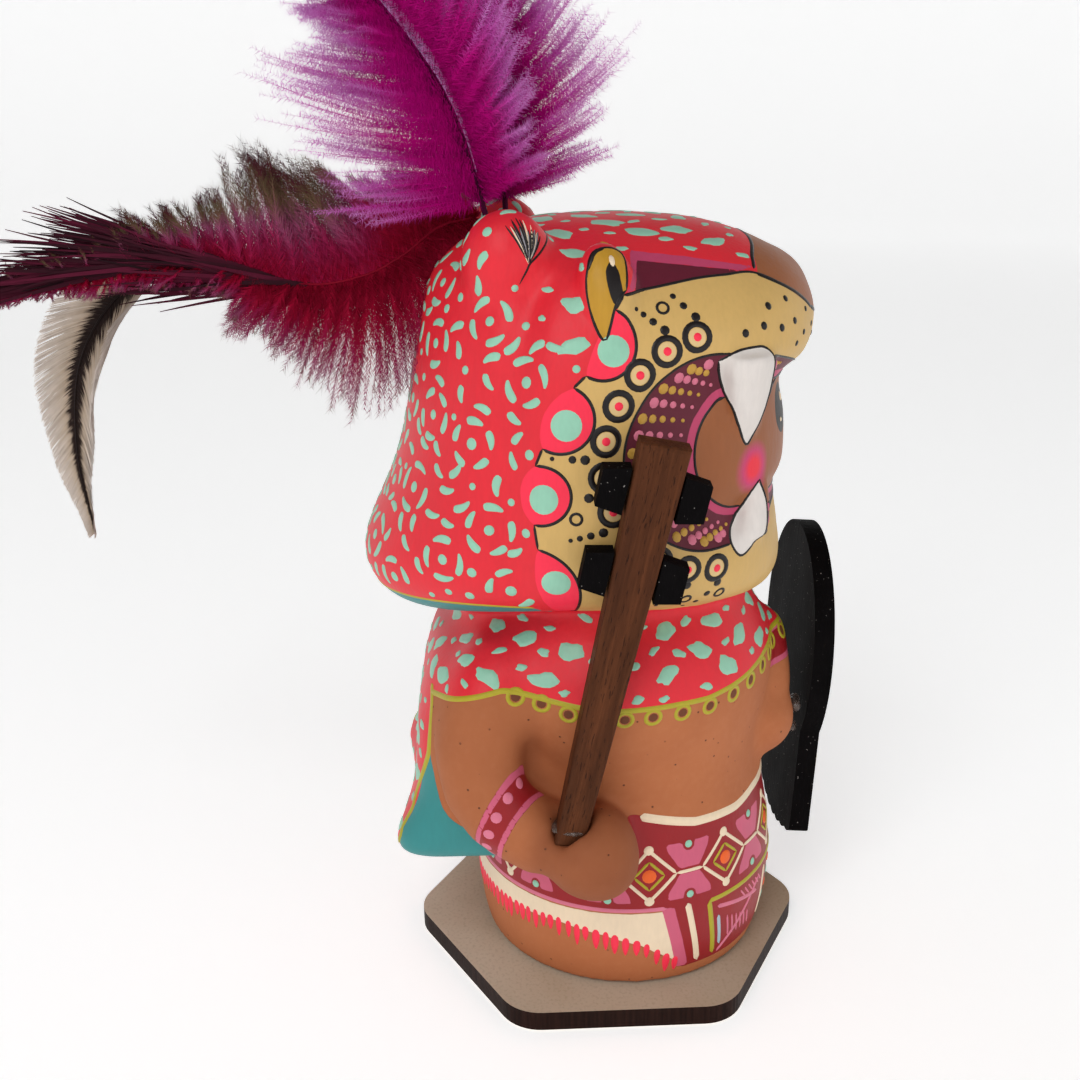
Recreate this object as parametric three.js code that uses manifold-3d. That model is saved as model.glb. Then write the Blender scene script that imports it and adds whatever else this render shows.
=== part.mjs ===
// Clay folk figurine of a spotted-cat warrior on a hexagonal base plate.
// Millimetres, +Z up, the figure faces -Y and its right hand is on -X.
// The origin is the centre of the base plate's underside.

import * as THREE from "three";
import { mergeVertices } from "three/addons/utils/BufferGeometryUtils.js";
import { LoftGeometry } from "three/addons/geometries/LoftGeometry.js";
import Module from "manifold-3d";

const wasm = await Module();
wasm.setup();

// Driving dimensions
const GAP = 0.3; // clearance between two pieces that touch
const PLATE = { corner: 31, round: 6.5, thick: 3 }; // base plate: centre to corner, corner radius
const CLAY_FOOT = PLATE.thick + GAP; // height of the clay's flat underside
const BOARD = 3; // thickness of the shield's fibreboard
const HEAD_TOP = 112; // crown of the helmet
const HEAD_WIDTH = 56; // widest part of the helmet
const MOUTH = { height: 84, drop: 0.9, arcScale: 27, axisY: 2 }; // middle line of the open mouth
const GUM = { corner: 28.8, reach: 12.6, side: 12.5, front: 8.9 }; // outline of the gum band
const FACE = { corner: 23.4, reach: 8.2, side: 7.9, front: 7.6 }; // outline of the face opening
const GUM_DEPTH = 1.9; // how far the gum band is hollowed
const CLUB = { length: 55, foot: 2.6, footWidth: 4, topWidth: 6.2, thick: 3.6, round: 0.5 };
const BLADE = { length: 6, width: 3.4, thick: 2.4, heights: [37.6, 48.5] };
const SHIELD = { radius: 18.7, fringeHalf: 16.5, kink: -10, fringeEnd: -27, fringeTip: -31.5, scallops: 9 };
const SHIELD_BACK = { x: 13.4, y: -30.9, z: 43.6, yaw: -2.8, lean: 3.1 }; // middle of the disc's back face

// Colours
const COLOURS = {
    clay: 0xb5704a,
    helmet: 0xdc2c3c,
    plate: 0x96826a,
    wood: 0x5a3722,
    black: 0x1e1c1c,
    magenta: 0xaa006e,
    crimson: 0x820a28,
    cream: 0xc8b9a4,
};

// Points and small maths
const v3 = (x, y, z) => new THREE.Vector3(x, y, z);
const { lerp, smoothstep, degToRad } = THREE.MathUtils;
const signedPower = (value, power) => Math.sign(value) * Math.abs(value) ** power;

// Turns a closed three.js geometry into a solid that can be joined and cut.
function toSolid(geometry) {
    const bare = new THREE.BufferGeometry();
    bare.setAttribute("position", geometry.attributes.position);
    bare.setIndex(geometry.index);
    const merged = mergeVertices(bare, 1e-4);
    const mesh = new wasm.Mesh({
        numProp: 3,
        vertProperties: new Float32Array(merged.attributes.position.array),
        triVerts: new Uint32Array(merged.index.array),
    });
    return new wasm.Manifold(mesh);
}

// Turns a joined solid back into a three.js geometry.
function toGeometry(solid) {
    const mesh = solid.getMesh();
    const geometry = new THREE.BufferGeometry();
    geometry.setAttribute("position", new THREE.Float32BufferAttribute(mesh.vertProperties, 3));
    geometry.setIndex([...mesh.triVerts]);
    geometry.computeVertexNormals();
    return geometry;
}

// A smooth rail through key points, sampled by the lofts below.
const rail = (points) => new THREE.CatmullRomCurve3(points.map((p) => v3(...p)), false, "centripetal");

// A rounded form carried by three rails: its front line, its back line and its side line.
// square below 1 makes the sections boxier. relief may move each point of the surface.
function railLoft({ front, back, side, rows, columns, square = 1, relief = null }) {
    const frontRail = rail(front.map(([y, z]) => [0, y, z]));
    const backRail = rail(back.map(([y, z]) => [0, y, z]));
    const sideRail = rail(side);
    const sections = [];
    for (let row = 0; row <= rows; row++) {
        const t = row / rows;
        const f = frontRail.getPoint(t);
        const b = backRail.getPoint(t);
        const s = sideRail.getPoint(t);
        const section = [];
        for (let column = 0; column < columns; column++) {
            const angle = (column / columns) * 2 * Math.PI;
            const across = Math.cos(angle);
            const along = Math.sin(angle);
            const end = along < 0 ? f : b;
            const y = s.y + (end.y - s.y) * Math.abs(signedPower(along, square));
            const z = end.z * along ** 2 + s.z * across ** 2;
            const point = v3(s.x * signedPower(across, square), y, z);
            section.push(relief ? relief(point) : point);
        }
        sections.push(section);
    }
    return new LoftGeometry(sections, { capStart: true, capEnd: true });
}

// A limb: round sections along a smooth path, with rounded ends.
function limb(path, radii, { steps = 11, sides = 12 } = {}) {
    const curve = rail(path);
    const frames = curve.computeFrenetFrames(steps, false);
    const sections = [];
    for (let i = 0; i <= steps; i++) {
        const t = i / steps;
        const place = t * (radii.length - 1);
        const below = Math.min(Math.floor(place), radii.length - 2);
        const grown = lerp(radii[below], radii[below + 1], smoothstep(place - below, 0, 1));
        const fromEnd = Math.min(t, 1 - t) * curve.getLength();
        const rounding = fromEnd < grown ? Math.sqrt(1 - (1 - fromEnd / grown) ** 2) : 1;
        const radius = grown * Math.max(rounding, 0.25);
        const centre = curve.getPointAt(t);
        const section = [];
        for (let j = 0; j < sides; j++) {
            const angle = (j / sides) * 2 * Math.PI;
            section.push(centre.clone()
                .addScaledVector(frames.normals[i], radius * Math.cos(angle))
                .addScaledVector(frames.binormals[i], radius * Math.sin(angle)));
        }
        sections.push(section);
    }
    return new LoftGeometry(sections, { capStart: true, capEnd: true });
}

// An egg-shaped lump of clay with its own three radii, turned in degrees.
function lump(centre, radii, turn = [0, 0, 0], columns = 12, rows = 8) {
    const geometry = new THREE.SphereGeometry(1, columns, rows);
    geometry.applyMatrix4(new THREE.Matrix4().compose(
        v3(...centre),
        new THREE.Quaternion().setFromEuler(new THREE.Euler(...turn.map(degToRad), "ZYX")),
        v3(...radii),
    ));
    return geometry;
}

const mirrored = ([x, y, z]) => [-x, y, z];

// How deep inside a mouth outline a point of the helmet lies: 1 on the outline, less inside.
function insideOutline(point, outline) {
    const turn = Math.atan2(Math.abs(point.x), MOUTH.axisY - point.y);
    const arc = turn * MOUTH.arcScale;
    const atSide = smoothstep(arc, 0, outline.corner);
    const half = lerp(outline.front, outline.side, atSide);
    const middle = MOUTH.height - MOUTH.drop * (1 - atSide);
    const across = Math.max(arc - outline.corner, 0) / outline.reach;
    return Math.hypot(across, (point.z - middle) / half);
}

// The gum band is a hollow between the jaws' outline and the face that fills the mouth.
function mouthRelief(point) {
    const outer = insideOutline(point, GUM);
    const inner = insideOutline(point, FACE);
    if (outer >= 1.08) return point;
    const intoGum = 1 - smoothstep(outer, 0.82, 1.08);
    const ontoFace = 1 - smoothstep(inner, 0.55, 1.1);
    const depth = GUM_DEPTH * intoGum * (1 - ontoFace);
    const inward = v3(-point.x, MOUTH.axisY - point.y, 0).normalize();
    return point.clone().addScaledVector(inward, depth);
}

// Helmet: crown, hood with its flared nape, and the two jaws
function helmet() {
    const half = HEAD_WIDTH / 2;
    return railLoft({
        rows: 32,
        columns: 56,
        square: 0.94,
        relief: mouthRelief,
        front: [
            [-12, 59.6], [-19.5, 60.2], [-23.2, 61.8], [-24.3, 65.2], [-23.4, 71.5], [-24, 77], [-24, 84],
            [-23.8, 90], [-27, 95], [-27.6, 100], [-25.8, 104], [-21.6, 107.5], [-13, 110.8], [-2, HEAD_TOP],
        ],
        back: [
            [14, 57], [27, 58.2], [33.4, 60.6], [35.9, 65.4], [34.7, 70.2], [32.5, 74.8], [30.3, 80.2],
            [28.8, 86.4], [27.6, 93], [26.4, 99.6], [24.4, 105.4], [19.4, 109.6], [10, 111.6], [2, HEAD_TOP],
        ],
        side: [
            [13, 2, 61.6], [21, 2, 62.6], [25.4, 2.5, 64.8], [half - 0.6, 3, 69], [half, 3, 73.4], [half, 3, 78],
            [half - 0.2, 3, 83], [half - 0.7, 3, 89], [half - 1.6, 3, 95], [half - 3.6, 3, 100.5],
            [half - 7.4, 3, 105.4], [half - 13, 2, 109], [half - 20, 1, 111.3], [2, 0, HEAD_TOP],
        ],
    });
}

// Torso, skirt and cowl, up into the helmet
function torso() {
    return railLoft({
        rows: 15,
        columns: 44,
        front: [
            [-23.6, CLAY_FOOT], [-24.9, 8], [-25.5, 18], [-23.6, 29], [-23, 37], [-24.3, 47],
            [-24, 52], [-21.4, 57], [-19, 61], [-18, 66],
        ],
        back: [
            [19.4, CLAY_FOOT], [20.4, 8], [20.8, 18], [20.2, 29], [21, 37], [25, 47], [25.6, 51.5],
            [22.5, 56], [19.5, 60], [18, 66],
        ],
        side: [
            [21.6, -2.3, CLAY_FOOT], [22.8, -2.2, 8], [23.4, -2, 18], [22.4, -1.6, 29], [22.4, -1, 37],
            [25.6, 2, 46.5], [26.4, 3, 51], [23.6, 2, 56.5], [19.6, 0, 61], [18, 0, 66],
        ],
    });
}

// Cape: a thick flap behind the body that flares towards its hem
function cape() {
    const hem = 23.2;
    const wing = { from: 35, to: 26.5, out: 4.6, at: 20 };
    const wingRelief = (point) => {
        const flare = 1 - smoothstep(point.z, wing.to, wing.from);
        if (point.y > wing.at) point.y += wing.out * flare * (point.x / wing.at) ** 2;
        return point;
    };
    return railLoft({
        rows: 12,
        columns: 32,
        square: 0.36,
        relief: wingRelief,
        front: [[6, hem], [4, hem + 1], [4, 30], [4, 37], [4, 45], [6, 53]],
        back: [[28, hem], [30.2, hem + 1.6], [29.4, 30], [29.2, 37], [28.4, 45], [26, 53]],
        side: [
            [17, 14, hem], [19.8, 14, hem + 1.4], [20.6, 14, 30], [20.6, 14, 36], [20.2, 14, 45], [18, 12, 53],
        ],
    });
}

// Right arm, whose hand holds the club beside the hip
function rightArm() {
    const sleeve = limb(
        [[-13, 13, 55], [-19.6, 19.2, 46.5], [-22.8, 18.8, 36.5], [-24.2, 12.5, 31], [-25.4, 4, 28.4]],
        [8.5, 6.8, 6, 5.4, 5.6],
    );
    const hand = lump([-26.4, 4.1, 28.4], [7, 7.2, 7.5], [0, 0, 0], 18, 12);
    return [sleeve, hand];
}

// Left arm, bent across the front to carry the shield
function leftArm() {
    const upper = limb(
        [[16, -4, 52], [17, -15, 43], [8, -20.4, 37.4], [-5, -20, 37.4]],
        [7.5, 7, 7, 6.6],
    );
    const elbow = lump([-3, -21.6, 37.6], [7, 6.6, 6.4], [0, 0, 0], 16, 10);
    const forearm = limb([[-3, -21.8, 38], [-1, -22.2, 45], [3, -21.4, 54]], [6.4, 5.4, 5], { steps: 8 });
    return [upper, elbow, forearm];
}

// A fang: a flattened, slightly bent horn with its root in the gum
function fang(root, tip, halfWidth, halfThick) {
    const sections = [];
    const from = v3(...root);
    const to = v3(...tip);
    const down = to.clone().sub(from);
    const outward = v3(from.x, from.y - MOUTH.axisY, 0).normalize();
    const across = new THREE.Vector3().crossVectors(outward, v3(0, 0, 1)).normalize();
    const steps = 5;
    const sides = 10;
    const orient = Math.sign(down.z) || 1;
    for (let i = 0; i <= steps; i++) {
        const t = i / steps;
        const size = Math.max(Math.sqrt(1 - t ** 1.5), 0.12);
        const centre = from.clone().addScaledVector(down, t);
        const section = [];
        for (let j = 0; j < sides; j++) {
            const angle = orient * (j / sides) * 2 * Math.PI;
            section.push(centre.clone()
                .addScaledVector(outward, halfThick * size * Math.cos(angle))
                .addScaledVector(across, -halfWidth * size * Math.sin(angle)));
        }
        sections.push(section);
    }
    return new LoftGeometry(sections, { capStart: true, capEnd: true });
}

// Ears, eyes, nose and fangs, the same on both sides
function helmetFeatures() {
    const features = [lump([0, -20.6, 102.2], [9, 6.7, 5.4], [24, 0, 0], 16, 10)];
    for (const flip of [(p) => p, mirrored]) {
        const sign = flip([1, 0, 0])[0];
        features.push(lump(flip([-14.6, 14.6, 106.8]), [6.2, 6, 7.2], [0, sign * -14, 0]));
        features.push(lump(flip([-21.4, 2.4, 104.2]), [3.2, 3.8, 6.4], [0, sign * 24, sign * 30], 12, 8));
        features.push(fang(flip([-20.2, -15.6, 96]), flip([-20.4, -15.2, 84.6]), 4.6, 2.4));
        features.push(fang(flip([-19, -16.6, 71.6]), flip([-17.6, -18, 80.2]), 3.2, 2));
    }
    return features;
}

// Local frame of the club: x across its width towards the front, z along it to the top
const CLUB_FOOT = v3(-27.5, 7.5, 34.2);
const CLUB_TOP = v3(-32, -3.3, 88);
function clubFrame() {
    const along = CLUB_TOP.clone().sub(CLUB_FOOT).normalize();
    const across = new THREE.Vector3().crossVectors(along, v3(-1, 0, 0)).normalize();
    const through = new THREE.Vector3().crossVectors(along, across);
    return new THREE.Matrix4().makeBasis(across, through, along).setPosition(CLUB_FOOT);
}

// Socket in the hand that takes the club's foot
function clubSocket() {
    const wide = CLUB.footWidth + 2 * GAP;
    const deep = CLUB.thick + 2 * GAP;
    const reach = 12;
    const box = new THREE.BoxGeometry(wide, deep, reach);
    box.translate(0, 0, reach / 2 - CLUB.foot - GAP);
    box.applyMatrix4(clubFrame());
    return box;
}

// The clay figure, one solid
function clayFigure() {
    let figure = toSolid(helmet());
    const forms = [torso(), cape(), ...rightArm(), ...leftArm(), ...helmetFeatures()];
    for (const form of forms) figure = figure.add(toSolid(form));
    figure = figure.subtract(toSolid(clubSocket()));
    return toGeometry(figure);
}

// Hexagonal plate with rounded corners, two of them on the Y axis
function basePlate() {
    const outline = new THREE.Shape();
    const corners = 6;
    const half = Math.PI / corners;
    const out = PLATE.corner - PLATE.round / Math.cos(half);
    for (let i = 0; i < corners; i++) {
        const turn = Math.PI / 2 + i * 2 * half;
        outline.absarc(out * Math.cos(turn), out * Math.sin(turn), PLATE.round, turn - half, turn + half);
    }
    outline.closePath();
    return new THREE.ExtrudeGeometry(outline, { depth: PLATE.thick, bevelEnabled: false, curveSegments: 4 });
}

// Flat tapered club with softened edges
function clubBody() {
    const low = CLUB.footWidth / 2 - CLUB.round;
    const high = CLUB.topWidth / 2 - CLUB.round;
    const outline = new THREE.Shape();
    const bottom = CLUB.round - CLUB.foot;
    const top = CLUB.length - CLUB.round;
    outline.moveTo(-low, bottom);
    outline.lineTo(low, bottom);
    outline.lineTo(high, top);
    outline.lineTo(-high, top);
    outline.closePath();
    const geometry = new THREE.ExtrudeGeometry(outline, {
        depth: CLUB.thick - 2 * CLUB.round,
        bevelSize: CLUB.round,
        bevelThickness: CLUB.round,
        bevelSegments: 2,
    });
    geometry.translate(0, 0, CLUB.round - CLUB.thick / 2);
    geometry.rotateX(Math.PI / 2);
    return geometry;
}

// One blade: a small plate whose outer edge is a little shorter than its root
function blade(height, side) {
    const halfClub = lerp(CLUB.footWidth, CLUB.topWidth, height / CLUB.length) / 2;
    const near = side * (halfClub + GAP);
    const far = side * (halfClub + GAP + BLADE.width);
    const root = BLADE.length / 2;
    const edge = root - 0.6;
    const outline = new THREE.Shape([
        new THREE.Vector2(near, height - root),
        new THREE.Vector2(far, height - edge),
        new THREE.Vector2(far, height + edge),
        new THREE.Vector2(near, height + root),
    ]);
    const geometry = new THREE.ExtrudeGeometry(outline, { depth: BLADE.thick, bevelEnabled: false });
    geometry.translate(0, 0, -BLADE.thick / 2);
    geometry.rotateX(Math.PI / 2);
    return geometry;
}

// Shield outline: a disc that runs into a fringe panel with a scalloped, arched hem
function shieldBody() {
    const outline = new THREE.Shape();
    const start = Math.asin(SHIELD.kink / SHIELD.radius);
    outline.absarc(0, 0, SHIELD.radius, start, Math.PI - start);
    outline.lineTo(-SHIELD.fringeHalf, SHIELD.fringeEnd);
    const steps = SHIELD.scallops * 4;
    for (let i = 1; i < steps; i++) {
        const t = i / steps;
        const arch = SHIELD.fringeEnd + (SHIELD.fringeTip - SHIELD.fringeEnd) * Math.sin(Math.PI * t);
        const wave = 0.45 * Math.abs(Math.sin(Math.PI * SHIELD.scallops * t));
        outline.lineTo(lerp(-SHIELD.fringeHalf, SHIELD.fringeHalf, t), arch - wave);
    }
    outline.lineTo(SHIELD.fringeHalf, SHIELD.fringeEnd);
    outline.closePath();
    return new THREE.ExtrudeGeometry(outline, { depth: BOARD, bevelEnabled: false, curveSegments: 24 });
}

// Local frame of the shield: x across, y up its face, z out of its front
function shieldFrame() {
    const yaw = degToRad(SHIELD_BACK.yaw);
    const lean = degToRad(SHIELD_BACK.lean);
    const facing = v3(Math.sin(yaw), -Math.cos(yaw), 0);
    const across = v3(Math.cos(yaw), Math.sin(yaw), 0);
    const up = v3(0, 0, Math.cos(lean)).addScaledVector(facing, Math.sin(lean));
    const out = new THREE.Vector3().crossVectors(across, up);
    const origin = v3(SHIELD_BACK.x, SHIELD_BACK.y, SHIELD_BACK.z);
    return new THREE.Matrix4().makeBasis(across, up, out).setPosition(origin);
}

// A plume: a thin lens-shaped body along its quill, leaf-shaped in outline.
// shape gives the half width along it, from the bare quill at the root to the tip.
function plume({ path, shape, widest, thick = 1.4, rows = 14 }) {
    const curve = rail(path);
    const sections = [];
    for (let i = 0; i <= rows; i++) {
        const t = i / rows;
        const centre = curve.getPointAt(t);
        const along = curve.getTangentAt(t);
        const across = new THREE.Vector3().crossVectors(along, v3(1, 0, 0)).normalize();
        const through = new THREE.Vector3().crossVectors(along, across);
        const half = widest * shape(t);
        const deep = Math.min(thick, half) / 2;
        const section = [[1, 0], [0.5, 1], [-0.5, 1], [-1, 0], [-0.5, -1], [0.5, -1]].map(([a, b]) =>
            centre.clone().addScaledVector(across, a * half).addScaledVector(through, b * deep));
        sections.push(section);
    }
    return new LoftGeometry(sections, { capStart: true, capEnd: true });
}

// Outlines of the plumes: they open from the quill, are fullest at one place, and draw in to a tip.
// tail is the part of the width that runs on past the fluff.
const leaf = (opens, fullest, closes, tail) => (t) => {
    const opened = smoothstep(t, opens, fullest);
    const fluff = 1 - smoothstep(t, fullest, closes);
    const runOn = tail * (1 - t ** 3);
    return Math.max(0.05, opened * (fluff * (1 - tail) + runOn));
};

const PLUMES = {
    feather_magenta_front: {
        path: [[-2.6, 17, 111.6], [-4, 20.7, 123.9], [-5, 25.6, 132.4], [-6, 34, 142], [-7, 46, 151]],
        shape: leaf(-0.1, 0.42, 1.1, 0.4),
        widest: 15,
        colour: COLOURS.magenta,
    },
    feather_magenta_back: {
        path: [[2.6, 14.4, 112], [4, 14.6, 124], [5, 15.6, 134], [6, 19.5, 144], [7, 26, 153]],
        shape: leaf(-0.1, 0.3, 1.15, 0.4),
        widest: 14.5,
        colour: COLOURS.magenta,
    },
    feather_crimson: {
        path: [
            [-0.9, 18.6, 111.6], [-1.3, 23.5, 110.4], [-1.8, 28.4, 106.8], [-2.4, 34, 104.2], [-3, 42, 103.4],
            [-4, 55, 106.6], [-5, 75, 104.5], [-6, 92, 100],
        ],
        shape: leaf(0.1, 0.25, 0.72, 0.38),
        widest: 16,
        colour: COLOURS.crimson,
    },
    feather_rooster: {
        path: [
            [1.2, 20.4, 111], [3, 36, 107.4], [4, 52, 106.6], [5, 66, 103.2], [6, 75, 93], [7, 78, 79],
            [7, 77, 66],
        ],
        shape: (t) => Math.max(leaf(0.4, 0.78, 1.04, 0.2)(t), 0.12 * (1 - t ** 8)),
        widest: 5.6,
        colour: COLOURS.cream,
    },
};

// The object
const figurine = new THREE.Group();
figurine.name = "clay_folk_figurine";

function addPiece(parent, name, geometry, colour, roughness) {
    const material = new THREE.MeshStandardMaterial({ color: colour, roughness, metalness: 0 });
    const mesh = new THREE.Mesh(geometry, material);
    mesh.name = name;
    parent.add(mesh);
    return mesh;
}

addPiece(figurine, "clay_figure", clayFigure(), COLOURS.clay, 0.75);
addPiece(figurine, "base_plate", basePlate(), COLOURS.plate, 0.8);

const clubGroup = new THREE.Group();
clubGroup.applyMatrix4(clubFrame());
addPiece(clubGroup, "club", clubBody(), COLOURS.wood, 0.6);
const bladeSides = { rear: -1, front: 1 };
const bladeRows = { lower: BLADE.heights[0], upper: BLADE.heights[1] };
for (const [row, height] of Object.entries(bladeRows)) {
    for (const [name, side] of Object.entries(bladeSides)) {
        addPiece(clubGroup, `blade_${row}_${name}`, blade(height, side), COLOURS.black, 0.7);
    }
}
figurine.add(clubGroup);

const shield = addPiece(figurine, "shield", shieldBody(), COLOURS.black, 0.7);
shield.applyMatrix4(shieldFrame());

for (const [name, { colour, ...form }] of Object.entries(PLUMES)) {
    addPiece(figurine, name, plume(form), colour, 0.9);
}

export default figurine;
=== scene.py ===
"""Clay folk figurine of a spotted-cat warrior: its modelled clay, painted patterns, feathers and boards.

Lengths are in millimetres in the classes and become metres where a mesh is written. The figure faces -Y,
its right hand is on -X, and the upright axis of its head stands at x 0, y 2.
"""

import logging
import math
from collections.abc import Callable, Sequence
from dataclasses import dataclass, field
from enum import Enum

import bmesh
import bpy
import numpy as np
from mathutils import Matrix, Vector
from mathutils.bvhtree import BVHTree
from mathutils.kdtree import KDTree


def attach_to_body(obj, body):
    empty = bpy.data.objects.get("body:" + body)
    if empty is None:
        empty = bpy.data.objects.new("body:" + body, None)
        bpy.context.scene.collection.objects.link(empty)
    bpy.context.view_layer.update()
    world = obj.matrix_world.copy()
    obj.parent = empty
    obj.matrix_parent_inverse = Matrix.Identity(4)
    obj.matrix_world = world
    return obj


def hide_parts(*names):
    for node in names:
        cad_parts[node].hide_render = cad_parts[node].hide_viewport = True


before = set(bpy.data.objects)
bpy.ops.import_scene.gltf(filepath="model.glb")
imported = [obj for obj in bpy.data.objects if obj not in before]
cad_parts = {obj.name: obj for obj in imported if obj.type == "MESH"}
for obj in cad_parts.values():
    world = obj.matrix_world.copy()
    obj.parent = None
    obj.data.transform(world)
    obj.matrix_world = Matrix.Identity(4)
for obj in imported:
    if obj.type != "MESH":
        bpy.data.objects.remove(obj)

LOG = logging.getLogger("figurine")
MM = 0.001  # metres in a millimetre
AXIS_Y = 2.0  # where the head's upright axis stands
ARC = 27.0  # radius at which the head is unrolled
PER_DEGREE = 0.4  # roughly what a degree of turn measures there
SIDES = (-1, 1)  # the figure's right half and its left half
FAR = 1e9  # further than anything
KEY_STEPS = 16  # points of a smooth line between two key points
LEVELS = 10  # steps in which a vertex group is weighted

Colour = tuple[float, float, float]
Place = tuple[float, float]
Spot = tuple[float, float, float]
Array = np.ndarray
Mesh = bpy.types.Mesh
Object = bpy.types.Object
Warp = Callable[[Array], Array]


def rgb(red: int, green: int, blue: int) -> Colour:
    """Returns a screen colour of 0 to 255 as linear light."""
    return tuple(((c / 255 + 0.055) / 1.055) ** 2.4 if c > 10 else c / 3295 for c in (red, green, blue))


def smooth_step(value: Array | float, low: float, high: float) -> Array:
    """Returns 0 below low, 1 above high and a soft rise between them."""
    t = np.clip((value - low) / (high - low), 0.0, 1.0)
    return t * t * (3 - 2 * t)


def through(points: Sequence[Sequence[float]], count: int) -> Array:
    """Runs a smooth line through key points.

    Args:
        points: the key points, in two or three dimensions.
        count: how many points the line gets.

    Returns:
        The line's points, evenly spread by length.
    """
    keys = np.asarray(points, dtype=float)
    padded = np.vstack([2 * keys[0] - keys[1], keys, 2 * keys[-1] - keys[-2]])
    dense = []
    for a, b, c, d in zip(padded, padded[1:], padded[2:], padded[3:]):
        for t in np.linspace(0, 1, KEY_STEPS, endpoint=False):
            dense.append(0.5 * (2 * b + (c - a) * t + (2 * a - 5 * b + 4 * c - d) * t**2
                                + (3 * b - a - 3 * c + d) * t**3))
    dense.append(keys[-1])
    return spread(np.array(dense), count)


def spread(line: Array, count: int) -> Array:
    """Spreads points evenly along a line.

    Args:
        line: its points.
        count: how many points it gets.

    Returns:
        The new points, at equal steps of length.
    """
    steps = lengths(np.diff(line, axis=0))
    run = np.concatenate([[0.0], np.cumsum(steps)])
    wanted = np.linspace(0, run[-1], count)
    return np.column_stack([np.interp(wanted, run, line[:, k]) for k in range(line.shape[1])])


def arc_through(start: Place, middle: Place, end: Place, count: int = 14) -> Array:
    """Draws the round arc through three places.

    Args:
        start: where it starts.
        middle: a place that it passes.
        end: where it ends.
        count: how many points it gets.

    Returns:
        Its points in order.
    """
    (ax, ay), (bx, by), (cx, cy) = start, middle, end
    area = 2 * (ax * (by - cy) + bx * (cy - ay) + cx * (ay - by))
    a2, b2, c2 = ax**2 + ay**2, bx**2 + by**2, cx**2 + cy**2
    x = (a2 * (by - cy) + b2 * (cy - ay) + c2 * (ay - by)) / area
    y = (a2 * (cx - bx) + b2 * (ax - cx) + c2 * (bx - ax)) / area
    radius = math.hypot(ax - x, ay - y)
    first, over, last = (math.atan2(q - y, p - x) for p, q in (start, middle, end))
    sweep = (last - first) % math.tau
    if (over - first) % math.tau > sweep:
        sweep -= math.tau
    angles = first + np.linspace(0, 1, count) * sweep
    return np.column_stack([x + radius * np.cos(angles), y + radius * np.sin(angles)])


def inside(places: Array, corners: Array) -> Array:
    """Measures how far inside a closed outline each place lies.

    Args:
        places: points on a plane.
        corners: the outline's corners in order.

    Returns:
        The distance to the outline, positive inside and negative outside.
    """
    nearest = np.full(len(places), FAR)
    within = np.zeros(len(places), dtype=bool)
    for a, b in zip(corners, np.roll(corners, -1, axis=0)):
        edge = b - a
        from_a = places - a
        t = np.clip(from_a @ edge / (edge @ edge + 1e-12), 0, 1)
        nearest = np.minimum(nearest, np.hypot(*(from_a - t[:, None] * edge).T))
        spans = (a[1] > places[:, 1]) != (b[1] > places[:, 1])
        crossing = a[0] + (places[:, 1] - a[1]) * edge[0] / (edge[1] if edge[1] else 1e-12)
        within ^= spans & (places[:, 0] < crossing)
    return np.where(within, nearest, -nearest)


def closed(outline: Sequence[Place], count: int) -> Array:
    """Returns a smooth closed line through an outline's key places."""
    return through((*outline, outline[0]), count)


def lengths(vectors: Array) -> Array:
    """Returns the length of each vector."""
    return np.linalg.norm(vectors, axis=1)


def least(*values: Array) -> Array:
    """Returns the least of several values, point by point."""
    return np.minimum.reduce(values)


def greatest(*values: Array) -> Array:
    """Returns the greatest of several values, point by point."""
    return np.maximum.reduce(values)


def folded(points: Array) -> Array:
    """Returns points with both halves of the figure laid on one."""
    return np.column_stack([np.abs(points[:, 0]), points[:, 1:]])


def turn_of(points: Array) -> Array:
    """Returns each point's turn about the head's axis, in degrees from the front, alike on both sides."""
    return np.degrees(np.arctan2(np.abs(points[:, 0]), AXIS_Y - points[:, 1]))


def on_arc(turn: float, height: float) -> Place:
    """Returns a place on the unrolled head: millimetres round from the front, and height."""
    return math.radians(turn) * ARC, height


def unrolled(places: Sequence[Place]) -> Array:
    """Returns places given as turn and height on the unrolled head."""
    return np.array([on_arc(*place) for place in places])


def vertices_of(mesh: Mesh, normals: bool = False) -> Array:
    """Reads a mesh.

    Args:
        mesh: the mesh.
        normals: reads the unit normals and not the points.

    Returns:
        One row per point, in millimetres.
    """
    flat = np.empty(len(mesh.vertices) * 3)
    mesh.vertices.foreach_get("normal" if normals else "co", flat)
    return flat.reshape(-1, 3) if normals else flat.reshape(-1, 3) / MM


def write_vertices(mesh: Mesh, points: Array) -> None:
    """Moves a mesh's points to places in millimetres."""
    mesh.vertices.foreach_set("co", (points * MM).ravel())
    mesh.update()


def write_field(mesh: Mesh, name: str, values: Array) -> None:
    """Stores one number per point under a name that materials can read."""
    attribute = mesh.attributes.new(name, "FLOAT", "POINT")
    attribute.data.foreach_set("value", np.asarray(values, dtype=np.float32))


def new_object(name: str, mesh: Mesh) -> Object:
    """Shows a mesh.

    Args:
        name: the object's name.
        mesh: what it holds.

    Returns:
        The object, at the origin.
    """
    obj = bpy.data.objects.new(name, mesh)
    bpy.context.scene.collection.objects.link(obj)
    return obj


def mesh_of(bm: bmesh.types.BMesh, name: str) -> Mesh:
    """Writes a finished bmesh to a mesh and frees it.

    Args:
        bm: the bmesh.
        name: the mesh's name.

    Returns:
        The mesh.
    """
    mesh = bpy.data.meshes.new(name)
    bm.to_mesh(mesh)
    bm.free()
    return mesh


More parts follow.
